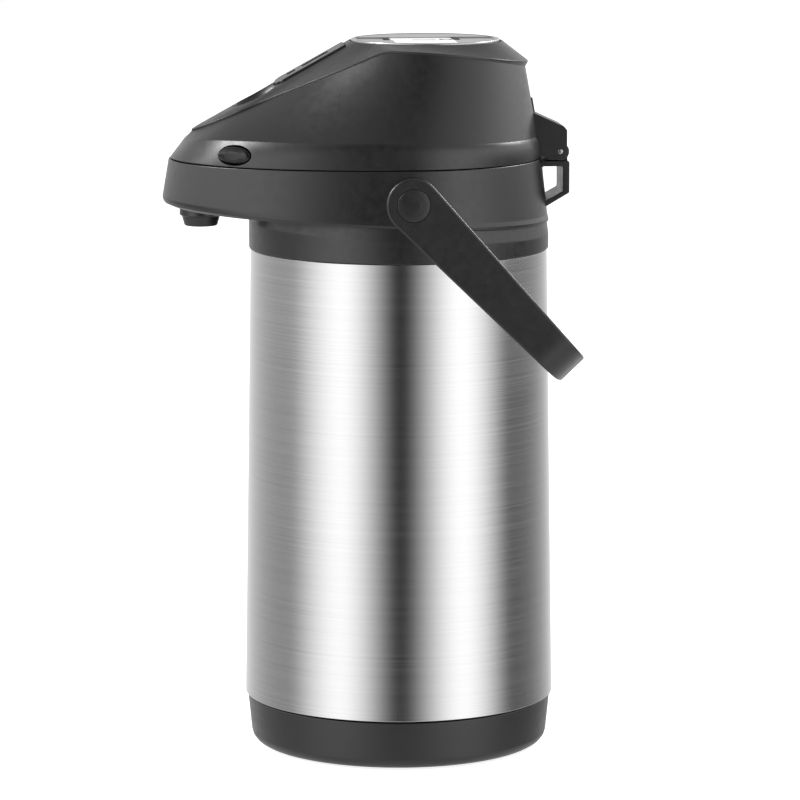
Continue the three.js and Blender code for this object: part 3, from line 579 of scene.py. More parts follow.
def show(piece, slot, body, *nodes):
    """Gives the piece its material and its body, and hides the CAD nodes that it stands for."""
    piece.data.materials.clear()
    piece.data.materials.append(MATERIALS[slot])
    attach(piece, body)
    if nodes:
        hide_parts(*nodes)
    return piece


# ------------------------------------------------------------------ base and steel body
def foot_pad():
    groove_in, groove_out, groove_top = 53, 55, 0.6
    profile = [
        (0, 0), (groove_in, 0), (groove_in, groove_top), (groove_out, groove_top), (groove_out, 0),
        (FOOT_RADIUS, 0), (FOOT_RADIUS, FOOT_HIGH), (0, FOOT_HIGH),
    ]
    return turned("foot_pad", profile, [0, 0.2, 0.2, 0.2, 0.2, 0.5, 0.2, 0])


def base_cup():
    seat, rim = FOOT_HIGH + GAP, FOOT_RADIUS + 0.6
    profile = [
        (0, seat), (rim, seat), (rim, 0.6), (78.2, 0.6), (80.8, BASE_TOP), (78.2, BASE_TOP),
        (75.8, 8), (72, 5.2), (0, 5.2),
    ]
    return turned("base_cup", profile, [0, 0.3, 0.3, 6.2, 0.7, 0.7, 3, 2, 0])


def steel_shell():
    foot, foot_z = SHELL_FOOT
    head, head_z = SHELL_HEAD
    step = head - 2.9
    neck = NECK_RADIUS + 2.3
    profile = [
        (foot, foot_z), (head, head_z), (step, head_z), (step, 268), (step - 4, 277), (step - 13, 281),
        (neck + 1, 283.5), (neck + 1, NECK_TOP - 0.6), (neck, NECK_TOP - 0.6), (neck, 282.5),
        (step - 13, 280), (step - 5, 276.5), (step - 1, 267.5), (step - 1, head_z - 1),
        (head - 1, head_z - 1), (foot - 1, foot_z),
    ]
    radii = [0.3, 0.2, 0.3, 3, 5, 5, 1, 0.3, 0.3, 1, 5, 5, 3, 0.3, 0.3, 0.3]
    return turned("steel_shell", profile, radii, steps=256, ring=True, crease=60)


def inner_liner():
    outer = LINER_RADIUS + 1
    profile = [
        (0, LINER_FLOOR - 1), (outer, LINER_FLOOR - 1), (outer, 264), (NECK_RADIUS + 1, 270),
        (NECK_RADIUS + 1, NECK_TOP), (NECK_RADIUS, NECK_TOP), (NECK_RADIUS, 269), (LINER_RADIUS, 263),
        (LINER_RADIUS, LINER_FLOOR), (0, LINER_FLOOR),
    ]
    return turned("inner_liner", profile, [0, 14, 12, 6, 0.3, 0.3, 6, 12, 13, 0], steps=128)


# ------------------------------------------------------------------ shoulder
def seam_outline(z):
    return egg(121, 78, 75, level(z))


def shoulder_skin():
    seam = seam_outline(SEAM - GAP / 2)
    belly = egg(124.5, 79.2, 78.3, fold_height(3.6))
    lower_belly = egg(123.4, 79.4, 78.9, fold_height(1.4))
    edge = egg(119.5, 79.1, 79.1, fold_height(0))
    cove = ring_outline(COLLAR_RADIUS - 0.9, fold_height(-0.5))
    inside = ring_outline(COLLAR_RADIUS - WALL, fold_height(WALL - 0.6))
    stations = [
        (ring_outline(COLLAR_RADIUS, level(COLLAR_FOOT)), 0.5),
        (ring_outline(COLLAR_RADIUS, fold_height(-7)), 7),
        (cove, 0.2), (edge, 0.7), (lower_belly, 0.9), (belly, 5),
        *[(between(belly, seam, s), 0) for s in (0.33, 0.66)],
        (seam, 0.5), (inset(seam, WALL), 0.4), (inset(belly, WALL), 2), (inset(edge, WALL, -WALL), 0),
        (inside, 0), (ring_outline(COLLAR_RADIUS - WALL, level(COLLAR_FOOT)), 0.4),
    ]
    return loft("shoulder_skin", stations)


def hinge_bracket():
    """Strap round a window behind the shoulder, and the knuckle that the lid's pin runs through."""
    strap = side_slab(
        "strap", [(75.5, 287.2), (76.8, 287.2), (88.9, 294.3), (88.9, STRAP_TOP), (73.6, STRAP_TOP)],
        -HINGE_HALF, HINGE_HALF, radius=1.0, bevel=0.4,
        holes=[[(74.4, 308.2), (85.4, 308.2), (85.4, 295.2), (75.8, 289.8)]])
    neck_side = [(79.6, STRAP_TOP - 1), (88.4, STRAP_TOP - 1), (88.4, HINGE_Z), (79.6, HINGE_Z)]
    neck = side_slab("neck", neck_side, -HINGE_MIDDLE, HINGE_MIDDLE, radius=0.6, bevel=0.3)
    knuckle = bar("knuckle", KNUCKLE, -HINGE_MIDDLE, HINGE_MIDDLE, HINGE_Y, HINGE_Z)
    return smooth(boolean(strap, [neck, knuckle], "UNION"))


def side_name(name, side):
    """The name with _right where side is 1, and _left where it is -1."""
    return name + ("_right" if side > 0 else "_left")


def pivot_boss(side):
    left, right = (76.6, PIVOT_REACH - GAP) if side > 0 else (GAP - PIVOT_REACH, -76.6)
    return bar(side_name("pivot_boss", side), 12, left, right, 0, PIVOT_Z, 0.5, 96)


def nozzle():
    floor = fold_height(WALL + GAP)(NOZZLE_Y)
    under = fold_height(-GAP)(NOZZLE_Y)
    profile = [
        (3.6, NOZZLE_LOW), (8.6, NOZZLE_LOW), (10.0, 282.6), (11.2, 283.2), (11.2, under - 1.2),
        (8.4, under - 1.2), (8.4, floor + 0.8), (11, floor + 0.8), (11, floor + 2.2), (3.6, floor + 2.2),
    ]
    radii = [0.4, 0.9, 0.3, 0.5, 0.5, 0.2, 0.2, 0.2, 0.2, 0.2]
    return turned("nozzle", profile, radii, y=NOZZLE_Y, steps=96, ring=True)


# ------------------------------------------------------------------ carrying handle
BAIL_REACH, BAIL_BOW, BAIL_DEEP, BAIL_END = 114.2, 17.0, 6.3, 14.0
BAIL_CORNER_HALF, BAIL_MIDDLE_HALF = 9.25, 8.5
BAIL_TANGENT = math.radians(92.35)  # where the round end meets the straight arm
ARM_STEPS, TURN_STEPS = 24, 16


def bezier(points, s):
    """A point on a Bezier curve of any degree."""
    while len(points) > 1:
        points = [a.lerp(b, s) for a, b in zip(points, points[1:])]
    return points[0]


def bail_path(reach, arm_end, corner_depth, curve_in, shoulder, bow):
    """The right half of one edge of the bail in plan, from the pivot to the middle."""
    turn = [
        Vector((reach, -arm_end)), Vector((reach, -corner_depth - 1)),
        Vector((reach - 12, -corner_depth - curve_in)), Vector((shoulder, -corner_depth - 8)),
    ]
    flat_from = 28 if reach == PIVOT_REACH else 30
    middle = [
        turn[-1], Vector((flat_from, -corner_depth - bow)), Vector((0, -corner_depth - bow)),
    ]
    path = [Vector((reach, -arm_end * i / ARM_STEPS)) for i in range(ARM_STEPS + 1)]
    path += [bezier(turn, i / TURN_STEPS) for i in range(1, TURN_STEPS + 1)]
    path += [bezier(middle, i / ARM_STEPS) for i in range(1, ARM_STEPS + 1)]
    return path


def bail_section(radius=1.3, steps=5):
    """The bail's rounded section, as (1 on the outer face or 0, depth from it, inset, side)."""
    loop = []
    for outer, top in ((1, 1), (0, 1), (0, -1), (1, -1)):
        for i in range(steps + 1):
            angle = math.pi / 2 * i / steps
            if (outer, top) in ((0, 1), (1, -1)):
                angle = math.pi / 2 - angle
            loop.append((outer, radius * (1 - math.cos(angle)), radius * (1 - math.sin(angle)), top))
        if (outer, top) in ((0, 1), (1, -1)):
            loop.append((outer, 0.0, radius, 0))
    return loop


def bail_half_width(y):
    """Half the bail's width in side view, narrowing from the pivot to the crossbar."""
    start_y = -BAIL_END * abs(math.cos(BAIL_TANGENT))
    start_z = BAIL_END * math.sin(BAIL_TANGENT)
    if -y < BAIL_REACH:
        share = (start_y - y) / (start_y + BAIL_REACH)
        return start_z + (BAIL_CORNER_HALF - start_z) * max(0.0, share)
    share = (-y - BAIL_REACH) / (BAIL_BOW + 1)
    return BAIL_CORNER_HALF + (BAIL_MIDDLE_HALF - BAIL_CORNER_HALF) * share


def handle():
    outer_x = PIVOT_REACH + ARM_THICKNESS
    arm_end = BAIL_REACH - 14
    outer = bail_path(outer_x, arm_end, BAIL_REACH, 5, outer_x - 28, BAIL_BOW)
    inner_depth = BAIL_REACH - BAIL_DEEP
    inner = bail_path(PIVOT_REACH, arm_end - 4, inner_depth, 4, PIVOT_REACH - 26, BAIL_BOW)
    section = bail_section()
    half = []
    for i in range(ARM_STEPS + 1):
        angle = BAIL_TANGENT * i / ARM_STEPS
        row = []
        for outside, depth, inwards, side in section:
            x = outer_x - depth if outside else PIVOT_REACH + depth
            size = BAIL_END - inwards
            row.append(Vector((x, size * math.cos(angle), side * size * math.sin(angle))))
        half.append(row)
    for a, b in list(zip(inner, outer))[2:]:
        across = (b - a).normalized()
        row = []
        for outside, depth, inwards, side in section:
            p = b - across * depth if outside else a + across * depth
            row.append(Vector((p.x, p.y, side * (bail_half_width((a.y + b.y) / 2) - inwards))))
        half.append(row)
    rest = [[Vector((-p.x, p.y, p.z)) for p in row] for row in half[-2::-1]]
    piece = grid("handle", half + rest, ring=False)
    turn = Matrix.Rotation(math.pi - math.radians(HANDLE_DROP), 4, "X")
    place(piece, shift(z=PIVOT_Z) @ turn)
    seats = [bar("seat", 8.6, *ends, 0, PIVOT_Z, 0.1, 96) for ends in (
        (outer_x - 1.1, outer_x + 2), (-outer_x - 2, 1.1 - outer_x))]
    return smooth(boolean(piece, seats), 35)


def pivot_cap(side):
    outer = PIVOT_REACH + ARM_THICKNESS
    profile = [(0, 0), (8.2, 0), (8.2, 1.1), (6.2, 1.4), (3.2, 1.65), (0, 1.72)]
    piece = turned(side_name("pivot_cap", side), profile, [0, 0.2, 0.35, 4, 4, 0], steps=96)
    place(piece, SIDEWAYS)
    if side < 0:
        place(piece, TO_THE_LEFT)
    return place(piece, shift(side * (outer - 0.9), 0, PIVOT_Z))


# ------------------------------------------------------------------ lid
lid_foot = egg(120.4, 77.7, 74.8, level(SEAM + GAP / 2))
belt = egg(BELT_FRONT, BELT_SIDE, BELT_REAR, belt_height)


def band_bulge(h):
    """Where the band under the belt line is pulled out to: full at the sides, none at the nose."""
    low, high = lid_foot(h), belt(h)
    side = min(1.0, max(0.0, (low.y + 112) / 60))
    swollen = inset(lid_foot, -0.35)(h)
    point = low.lerp(high, 0.5).lerp(Vector((swollen.x, swollen.y, 0)), side)
    point.z = low.z + (high.z - low.z) * (0.5 + 0.28 * side)
    return point


def place_latch(piece, side):
    matrix = shift(LATCH_X, LATCH_Y, LATCH_Z) @ Matrix.Rotation(math.radians(-LATCH_TURN), 4, "Z")
    place(piece, matrix)
    if side < 0:
        place(piece, TO_THE_LEFT)
    return piece


def oval(name, spare, left, right):
    """An oval plug along X, the shape of a release button."""
    piece = plug(name, UNIT, left, right, steps=96)
    size = Matrix.Diagonal((
        (LATCH_LENGTH / 2 + spare) / UNIT, (LATCH_HEIGHT / 2 + spare) / UNIT, 1, 1))
    return place(piece, SIDEWAYS @ size)


def box(name, x, y, z, bevel=0.3):
    outline = [(x[0], y[0]), (x[1], y[0]), (x[1], y[1]), (x[0], y[1])]
    return slab(name, outline, *z, radius=bevel, bevel=bevel)


def under_crown(distance, drop):
    """The wall's top edge: under the bonnet's edge, and tucked further in towards the rear."""
    def moved(h):
        tuck = 1.8 * max(0.0, 2 * h - 1) ** 2
        return inset(crown, distance + tuck, drop + 0.4 * tuck)(h)
    return moved


def lid_skirt():
    top = under_crown(0.1, 0.9)
    stations = [
        (lid_foot, 0.5), *[(o, 0) for o in curved(lid_foot, band_bulge, belt, 6)], (belt, 0.8),
        *[(between(belt, top, i / 8), 0) for i in range(1, 8)],
        (top, 0.2), (under_crown(2.6, 4.3), 0), (inset(belt, WALL, 1.5), 0),
        (inset(lid_foot, WALL), 0.4),
    ]
    wall = loft("lid_skirt", stations)
    holes = [place_latch(oval("hole", 0.75, -12, 8), side) for side in (1, -1)]
    return smooth(boolean(wall, holes))


def hinge_block():
    """Block behind the lid with a round end at the pin, and a recess for the bracket's knuckle."""
    under = STRAP_TOP + 2 * GAP
    outline = [
        (69.5, SEAM + GAP), (77.2, SEAM + GAP), (77.2, under), (HINGE_Y + 1.4, under),
        (87.6, HINGE_Z), (87.6, 327.2), (86, 329.2), (70.6, 336.2), (66, 337.4), (66, SEAM + GAP),
    ]
    block = side_slab("block", outline, -HINGE_HALF, HINGE_HALF, bevel=0.3)
    boss = bar("boss", BOSS, 0.05 - HINGE_HALF, HINGE_HALF - 0.05, HINGE_Y, HINGE_Z, bevel=0.3)
    room = HINGE_MIDDLE + 0.4
    recess_side = [(78.5, 305), (92, 305), (92, HINGE_Z + 5.4), (78.5, HINGE_Z + 5.4)]
    recess = side_slab("recess", recess_side, -room, room, radius=0.5, bevel=0.2)
    plate = side_slab("plate", [(67, 330), (72.2, 330), (69.8, 344), (65, 344)], -9, 9, radius=0.4)
    whole = boolean(boolean(block, [boss], "UNION"), [recess])
    return smooth(joined("hinge_block", whole, plate))


def hinge_pin():
    return bar("hinge_pin", PIN, -HINGE_HALF - 0.05, HINGE_HALF + 0.05, HINGE_Y, HINGE_Z, 0.5, 48)


ON_SLOPE = shift(0, *SLOPE_HEAD) @ Matrix.Rotation(SLOPE_ANGLE, 4, "X")


def along_slope(front):
    return -(front + SLOPE_HEAD[0]) / math.cos(SLOPE_ANGLE)


def tongue(name, spare, longer, low, high, bevel=0.0):
    half = SLIDER_HALF + spare
    upper = along_slope(SLIDER_UPPER) + spare
    lower = along_slope(SLIDER_LOWER) - spare - longer
    end = [bezier([Vector((half, lower + 5)), Vector((half, lower)), Vector((0, lower))], i / 10)
           for i in range(11)]
    outline = [(half, upper)] + [tuple(p) for p in end] + [(-p.x, p.y) for p in end[-2::-1]]
    outline.append((-half, upper))
    return place(slab(name, outline, low, high, bevel=bevel), ON_SLOPE)


def finger_scoop():
    """The hollow below the slider, as a lens to cut away."""
    half_turn = [math.pi * i / 48 - math.pi / 2 for i in range(49)]
    ball = [(UNIT * math.cos(angle), UNIT * math.sin(angle)) for angle in half_turn]
    piece = turned("scoop", ball, 0, steps=96)
    size = Matrix.Diagonal((SCOOP_HALF * MM, SCOOP_LENGTH * MM, (SCOOP_DEPTH + SCOOP_RISE) * MM, 1))
    return place(piece, ON_SLOPE @ shift(y=along_slope(SCOOP_FRONT), z=SCOOP_RISE) @ size)


def lid_bonnet():
    edge = SLOPE_HEAD[1]
    stations = [
        (inset(crown, 0.1, 0.75), 0.1), (crown, 1.1), *[
            (between(crown, button_hole(BUTTON_HOLE, edge), i / 6), 0) for i in range(1, 6)],
        (button_hole(BUTTON_HOLE, edge), 0.5), (button_hole(BUTTON_HOLE, edge - 16), 0),
        (shrunk(crown, 0.9, 16), 0),
    ]
    skin = loft("lid_bonnet", stations)
    cuts = [tongue("slot", 0.25, SLIDER_TRAVEL, -SLIDER_DEPTH - GAP, 8), finger_scoop()]
    return smooth(boolean(skin, cuts), 35)


def lock_slider():
    """The slider, with a long and a short plain mark sunk into its face."""
    body = tongue("lock_slider", 0, 0, -SLIDER_DEPTH, SLIDER_PROUD, bevel=0.5)
    marks = []
    for front, rear in ((58.5, 54.3), (50.7, 37.3)):
        ends = (along_slope(front), along_slope(rear))
        mark = box("mark", (-4.5, 4.5), ends, (SLIDER_PROUD - 0.4, SLIDER_PROUD + 1), bevel=0.1)
        marks.append(place(mark, ON_SLOPE))
    return smooth(boolean(body, marks))


def release_button(side):
    profile = [
        (0, -8), (UNIT, -8), (UNIT, 0.3), (0.96 * UNIT, 0.9), (0.8 * UNIT, 1.6), (UNIT / 2, 2.1),
        (0, 2.3),
    ]
    cap = turned("cap", profile, [0, 0.2, 30, 60, 120, 200, 0], steps=96)
    size = Matrix.Diagonal((LATCH_LENGTH / 2 / UNIT, LATCH_HEIGHT / 2 / UNIT, 1, 1))
    place(cap, SIDEWAYS @ size)
    hook_low = 302.2 - LATCH_Z
    arm = box("arm", (-9.5, -7.5), (-4, 4), (hook_low, 3))
    lip = box("lip", (-8, -5.3), (-4, 4), (hook_low, DECK_LOW - GAP - LATCH_Z))
    whole = joined(side_name("release_button", side), cap, arm, lip)
    return smooth(place_latch(whole, side))


# ------------------------------------------------------------------ pump button
def pump_button():
    top = PLATE_LOW - GAP
    profile = [
        (0, 355.3), (14, 355.3), (14, 369), (36.6, 369), (36.6, 347), (38.6, 347), (BUTTON_RADIUS, 350),
        (BUTTON_RADIUS, top), (0, top),
    ]
    radii = [0, 0.3, 0.6, 0.6, 0.3, 0.3, 0.3, 0.3, 0]
    return turned("pump_button", profile, radii, y=BUTTON_Y)


CHANNEL_HALF, CHANNEL_DEPTH = 11.0, 0.9


def button_plate():
    """Pressed plate with a rolled edge, and a channel along its middle."""
    low, flat = PLATE_LOW, BUTTON_TOP - 0.25
    profile = [
        (0, low), (BUTTON_RADIUS, low), (BUTTON_RADIUS, BUTTON_TOP), (BUTTON_RADIUS - 1.6, BUTTON_TOP),
        (BUTTON_RADIUS - 2.2, flat), (0, flat),
    ]
    plate = turned("button_plate", profile, [0, 0.2, 0.6, 0.4, 0.4, 0], y=BUTTON_Y)
    floor = BUTTON_TOP - CHANNEL_DEPTH
    width = (-CHANNEL_HALF, CHANNEL_HALF)
    channel = box("channel", width, (BUTTON_Y - 36, BUTTON_Y + 36), (floor, BUTTON_TOP + 1), bevel=0.15)
    return smooth(boolean(plate, [channel]))


LABEL_LENGTH, LABEL_THICK = (-4, 28), 0.25


def label_field(name, width, low):
    field = box(name, width, LABEL_LENGTH, (low, low + LABEL_THICK), bevel=0.08)
    return smooth(field)


def plate_label():
    """A plain white field beside the channel, where the maker's lettering would be."""
    return label_field("plate_label", (CHANNEL_HALF + 1, 35), BUTTON_TOP - 0.4)


def channel_label():
    """The plain white field's other half, on the floor of the channel."""
    width = (1 - CHANNEL_HALF, CHANNEL_HALF - 1)
    return label_field("channel_label", width, BUTTON_TOP - CHANNEL_DEPTH - 0.1)


def label_marks():
    """A bar at each end of the white field, a dash and a ring: plain marks, with no lettering."""
    low = BUTTON_TOP - CHANNEL_DEPTH
    bars = [box("bar", (-9, 5), ends, (low, low + 0.5), bevel=0.1) for ends in ((-8, -5), (29, 32))]
    dash = box("dash", (3, 6), (7, 19), (low, low + 0.25), bevel=0.05)
    ring = turned("ring", [(2.2, 0), (3.4, 0), (3.4, 0.25), (2.2, 0.25)], 0.05, steps=48, ring=True)
    place(ring, shift(2, 24.5, low))
    return smooth(joined("label_marks", *bars, dash, ring))


# ------------------------------------------------------------------ inside, seen with the lid open
def latch_slots(low, high):
    """The slots that the latch hooks pass through, between two heights."""
    slots = []
    for side in (1, -1):
        slot = box("slot", (-13.1, -7.1), (-4.6, 4.6), (low - LATCH_Z, high - LATCH_Z), bevel=0.1)
        slots.append(place_latch(slot, side))
    return slots


def deck_plate():
    plate = loft("deck_plate", [
        (spot(0, DECK_LOW), 0), (inset(seam_outline(DECK_LOW), WALL + 0.6), 0.3),
        (inset(seam_outline(DECK_HIGH), WALL + 0.6), 0.5), (spot(0, DECK_HIGH), 0)], closed=False)
    mouth = plug("mouth", MOUTH_COLLAR + 0.6, 300, 315, y=MOUTH_Y, steps=128)
    return smooth(boolean(plate, [mouth, *latch_slots(DECK_LOW - 1, DECK_HIGH + 1)]))


def mouth_ring():
    """Insert in the neck: flange, skirt and filling mouth, with the hole for the dip tube."""
    low, flange = NECK_TOP + 2 * GAP + 1, 296.2
    body = plug("mouth_ring", 46, low, flange, [0, 0.3, 0.5, 0], steps=128)
    collar = plug(
        "collar", MOUTH_COLLAR, low + 1, DECK_HIGH, [0, 0.3, 0.8, 0], y=MOUTH_Y, steps=128)
    skirt_profile = [(36.5, 284), (40.4, 284), (40.4, low + 0.5), (36.5, low + 0.5)]
    skirt = turned("skirt", skirt_profile, 0.3, steps=128, ring=True)
    mouth = plug("mouth", MOUTH_RADIUS, 280, 315, y=MOUTH_Y, steps=128)
    tube_hole = plug("tube_hole", 7.4, 280, 300, y=TUBE_Y, steps=48)
    whole = boolean(body, [collar, skirt], "UNION")
    return smooth(boolean(whole, [mouth, tube_hole]))


def stopper():
    profile = [
        (5, 300.3), (22.5, 300.3), (24.4, 309.2), (24.4, 311.8), (30, 311.8), (30, FLOOR_LOW - GAP),
        (26, FLOOR_LOW - GAP), (26, 317.2), (17, 317.2), (17, 303), (5, 303),
    ]
    return turned("stopper", profile, 0.4, y=MOUTH_Y, steps=128, ring=True)


def stopper_gasket():
    profile = [(24.8, 309.8), (29.8, 309.8), (29.8, 311.5), (24.8, 311.5)]
    return turned("stopper_gasket", profile, 0.6, y=MOUTH_Y, steps=128, ring=True)


def air_flap():
    profile = [(0, 298.4), (9, 298.9), (9, 300), (3, 300), (3, 304), (0, 304)]
    return turned("air_flap", profile, [0, 0.4, 0.3, 0.3, 0.3, 0], y=MOUTH_Y, steps=64)


def lid_floor():
    foot = SEAM + GAP / 2
    plate = loft("lid_floor", [
        (spot(0, FLOOR_LOW), 0), (inset(lid_foot, WALL + 1, foot - FLOOR_LOW), 0.3),
        (inset(lid_foot, WALL + 3.7, foot - FLOOR_HIGH), 0.3), (spot(0, FLOOR_HIGH), 0)],
        closed=False)
    holes = [plug("mouth", 26.6, 305, 325, y=MOUTH_Y, steps=128)]
    holes += latch_slots(FLOOR_LOW - 1, FLOOR_HIGH + 1)
    holes += [place_latch(oval("hole", 0.8, -12.5, 8), side) for side in (1, -1)]
    return smooth(boolean(plate, holes))


def pan_screw(name, x, y, face, direction):
    """A pan head with a cross recess, and its shank."""
    profile = [
        (0, -8), (1.4, -8), (1.4, GAP), (3.2, GAP), (3.1, GAP + 1.1), (1.8, GAP + 1.55),
        (0, GAP + 1.6),
    ]
    piece = turned(name, profile, [0, 0.2, 0.1, 0.2, 0.6, 0.6, 0], steps=32)
    long, short = (-1.7, 1.7), (-0.35, 0.35)
    cross = [box("cross", x_range, y_range, (1.0, 3), bevel=0.05)
             for x_range, y_range in ((long, short), (short, long))]
    piece = boolean(piece, cross)
    if direction < 0:
        place(piece, Matrix.Rotation(math.pi, 4, "X"))
    return smooth(place(piece, shift(x, y, face)))


# ------------------------------------------------------------------ assembly of the looks
show(foot_pad(), "base_rubber", "pot", "foot_pad")
show(base_cup(), "black_plastic", "pot", "base_cup")
show(steel_shell(), "brushed_shell", "pot", "outer_shell")
show(inner_liner(), "liner_steel", "pot", "inner_liner")
show(shoulder_skin(), "black_plastic", "pot", "shoulder_housing")
show(hinge_bracket(), "black_plastic", "pot")
show(nozzle(), "black_plastic", "pot", "nozzle")
bail = show(handle(), "black_plastic", "handle", "handle")
bail.visible_glossy = False  # the bail is left out of the steel's reflections
show(lid_skirt(), "black_plastic", "lid", "lid_skirt")
show(hinge_block(), "black_plastic", "lid")
show(lid_bonnet(), "black_plastic", "lid", "lid_bonnet")
show(hinge_pin(), "polished_steel", "lid", "hinge_pin")
show(lock_slider(), "black_plastic", "lock", "lock_slider")
show(pump_button(), "black_plastic", "button", "pump_button")
show(button_plate(), "pressed_plate", "button", "button_plate")
show(plate_label(), "label_white", "button")
show(channel_label(), "label_white", "button")
show(label_marks(), "base_rubber", "button")
show(deck_plate(), "grey_plastic", "pot", "deck_plate")
show(lid_floor(), "grey_plastic", "lid", "lid_floor")
show(mouth_ring(), "grey_plastic", "pot", "mouth_ring")
show(stopper(), "grey_plastic", "lid", "stopper")
show(stopper_gasket(), "silicone_seal", "lid", "stopper_gasket")
show(air_flap(), "silicone_seal", "lid", "air_flap")
for way, name in ((1, "right"), (-1, "left")):
    show(pivot_boss(way), "black_plastic", "pot")
    show(pivot_cap(way), "black_plastic", "pot", f"pivot_cap_{name}")
    show(release_button(way), "gloss_black", f"latch_{name}", f"release_button_{name}")
for body, base, places, face, direction in (
        ("pot", "deck_screw", DECK_SCREWS, DECK_HIGH, 1),
        ("lid", "lid_screw", LID_SCREWS, FLOOR_LOW, -1)):
    for i, (x, y) in enumerate(places):
        screw = f"{base}_{i + 1}"
        show(pan_screw(f"{screw}_head", x, y, face, direction), "polished_steel", body, screw)

# The pieces that never show keep their CAD shape and get the finish of their slot.
for part in frame["record"]["subparts"]:
    cad = frame["nodes"][part["node"]]
    cad.data.materials.clear()
    cad.data.materials.append(MATERIALS[part["material_slot"]])


# ------------------------------------------------------------------ floor, light and camera
def floor():
    made = turned("floor", [(0, -4), (6000, -4), (6000, -0.02), (0, -0.02)], 0, steps=64)
    material, tree, shader = new_material("floor_paper")
    fine = noise(tree, object_vector(tree), 3, 3)
    tree.links.new(mixed_colour(tree, fine, *grey(0.9, 0.93)), shader.inputs["Base Color"])
    shader.inputs["Roughness"].default_value = 0.9
    shader.inputs["Specular IOR Level"].default_value = 0.1
    shader.inputs["Emission Color"].default_value = (1, 1, 1, 1)
    shader.inputs["Emission Strength"].default_value = 0.8
    made.data.materials.append(material)
    made.visible_glossy = False


# The studio round the pot: degrees from its middle, and light. A soft box stands on either
# side of the camera with a dark gap between them, and the wall behind the pot is light.
LOWER_WALLS = [(-180, 0.9), (-92, 0.05), (-46, 1.65), (2, 0.0), (48, 1.6), (95, 0.3), (180, 0.9)]
UPPER_WALLS = [(-180, 1.0), (-46, 1.9), (2, 0.1), (48, 1.9), (180, 1.0)]
BRIGHTEST = 2.0
# The camera and the studio's middle: degrees round from the spout towards the right side.
CAMERA_SIDE, STUDIO_SIDE = 85.0, 88.5
CAMERA_LENS, CAMERA_DISTANCE, CAMERA_HEIGHT, AIM_HEIGHT = 193, 2250, 538, 183
HIGH_WALLS, OVERHEAD, FLOOR_BOUNCE = 0.4, 0.5, 0.75
# Heights of the direction looked in, from -1 straight down to 1 straight up.
UPPER_FROM, DIMMER_FROM, CEILING_FROM = (-0.05, 0.05), (0.15, 0.45), (0.65, 0.95)
FLOOR_FROM = (-0.3, -0.45)


def scaled(tree, value, factor):
    """The value times a number or another socket."""
    made = node(tree, "ShaderNodeMath", operation="MULTIPLY")
    tree.links.new(value, made.inputs[0])
    if isinstance(factor, float):
        made.inputs[1].default_value = factor
    else:
        tree.links.new(factor, made.inputs[1])
    return made.outputs["Value"]


def wall_ramp(tree, share, stops):
    """Brightness round the horizon, from stops of degrees and light."""
    ramp = node(tree, "ShaderNodeValToRGB")
    ramp.color_ramp.interpolation = "EASE"
    elements = ramp.color_ramp.elements
    for degrees, light in stops[1:-1]:
        elements.new((degrees + 180) / 360)
    for stop, (degrees, light) in zip(elements, stops):
        stop.color = (light / BRIGHTEST, light / BRIGHTEST, light / BRIGHTEST, 1)
    tree.links.new(share, ramp.inputs["Fac"])
    return scaled(tree, ramp.outputs["Color"], BRIGHTEST)


def faded(tree, share, first, second):
    """A number that goes from the first socket to the second value, or socket, by the share."""
    made = node(tree, "ShaderNodeMix", data_type="FLOAT")
    tree.links.new(share, made.inputs["Factor"])
    tree.links.new(first, made.inputs["A"])
    if isinstance(second, float):
        made.inputs["B"].default_value = second
    else:
        tree.links.new(second, made.inputs["B"])
    return made.outputs["Result"]


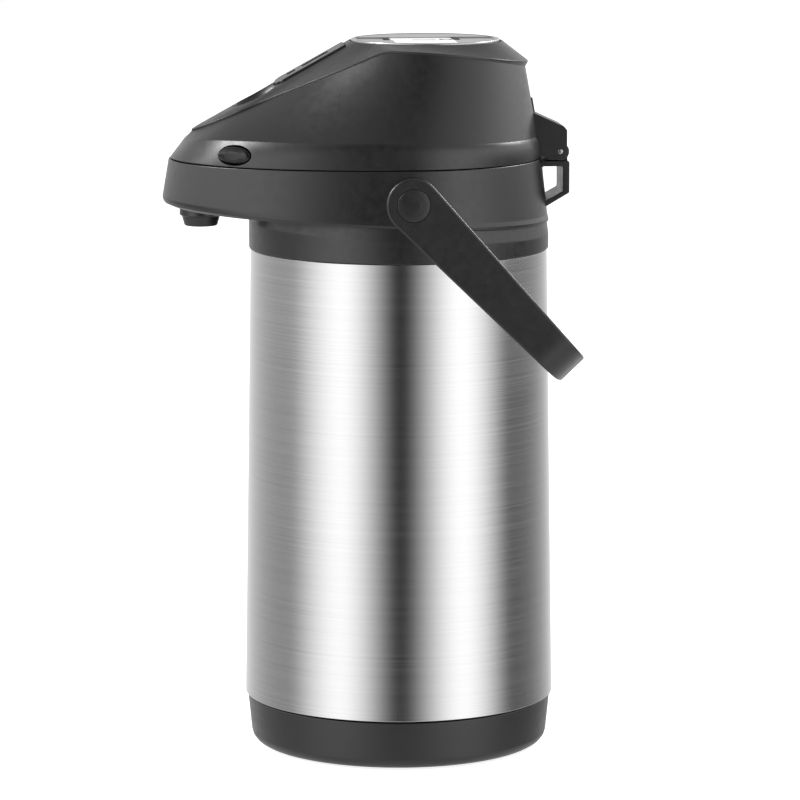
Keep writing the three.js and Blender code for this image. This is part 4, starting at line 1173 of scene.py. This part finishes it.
def studio_light():
    """Soft walls, dimmer higher up, with a plain ceiling, a floor bounce and a white backdrop."""
    world = bpy.data.worlds.new("studio")
    bpy.context.scene.world = world
    world.use_nodes = True
    tree = world.node_tree
    coordinates = node(tree, "ShaderNodeTexCoord")
    turn = node(tree, "ShaderNodeMapping")
    turn.inputs["Rotation"].default_value = (0, 0, math.radians(180 - STUDIO_SIDE))
    split = node(tree, "ShaderNodeSeparateXYZ")
    tree.links.new(coordinates.outputs["Generated"], turn.inputs["Vector"])
    tree.links.new(turn.outputs["Vector"], split.inputs["Vector"])
    height = split.outputs["Z"]
    angle = node(tree, "ShaderNodeMath", operation="ARCTAN2")
    tree.links.new(split.outputs["X"], angle.inputs[0])
    tree.links.new(split.outputs["Y"], angle.inputs[1])
    share = mapped(tree, angle.outputs["Value"], 0, 1, (-math.pi, math.pi))
    lower = wall_ramp(tree, share, LOWER_WALLS)
    upper = wall_ramp(tree, share, UPPER_WALLS)
    upper = scaled(tree, upper, mapped(tree, height, 1, HIGH_WALLS, DIMMER_FROM))
    walls = faded(tree, mapped(tree, height, 0, 1, UPPER_FROM), lower, upper)
    roofed = faded(tree, mapped(tree, height, 0, 1, CEILING_FROM), walls, OVERHEAD)
    light = faded(tree, mapped(tree, height, 0, 1, FLOOR_FROM), roofed, FLOOR_BOUNCE)
    rays = node(tree, "ShaderNodeLightPath")
    seen = faded(tree, rays.outputs["Is Camera Ray"], light, 1.0)
    tree.links.new(seen, tree.nodes["Background"].inputs["Color"])


def high_light(name, energy, place_at):
    """A round soft box high up, aimed at the lid."""
    data = bpy.data.lights.new(name, "AREA")
    data.shape = "DISK"
    data.size = 0.6
    data.energy = energy
    made = bpy.data.objects.new(name, data)
    bpy.context.scene.collection.objects.link(made)
    spot_at, aim = Vector(place_at), Vector((0, -30, 320))
    made.location = spot_at * MM
    made.rotation_euler = (aim - spot_at).to_track_quat("-Z", "Y").to_euler()


def camera():
    data = bpy.data.cameras.new("camera")
    data.lens = CAMERA_LENS
    data.sensor_width = 36
    made = bpy.data.objects.new("camera", data)
    bpy.context.scene.collection.objects.link(made)
    side = math.radians(CAMERA_SIDE)
    right = Vector((math.cos(side), math.sin(side), 0))
    aim = Vector((0, 0, AIM_HEIGHT)) + 0.7 * right
    spot_at = Vector((
        CAMERA_DISTANCE * math.sin(side), -CAMERA_DISTANCE * math.cos(side), CAMERA_HEIGHT))
    made.location = spot_at * MM
    made.rotation_euler = (aim - spot_at).to_track_quat("-Z", "Y").to_euler()
    bpy.context.scene.camera = made


floor()
studio_light()
high_light("front_light", 15.0, (0, -1200, 1150))
high_light("rear_light", 13.0, (-600, 1150, 1100))
camera()
bpy.context.scene.view_settings.view_transform = "Standard"
bpy.context.scene.view_settings.look = "None"
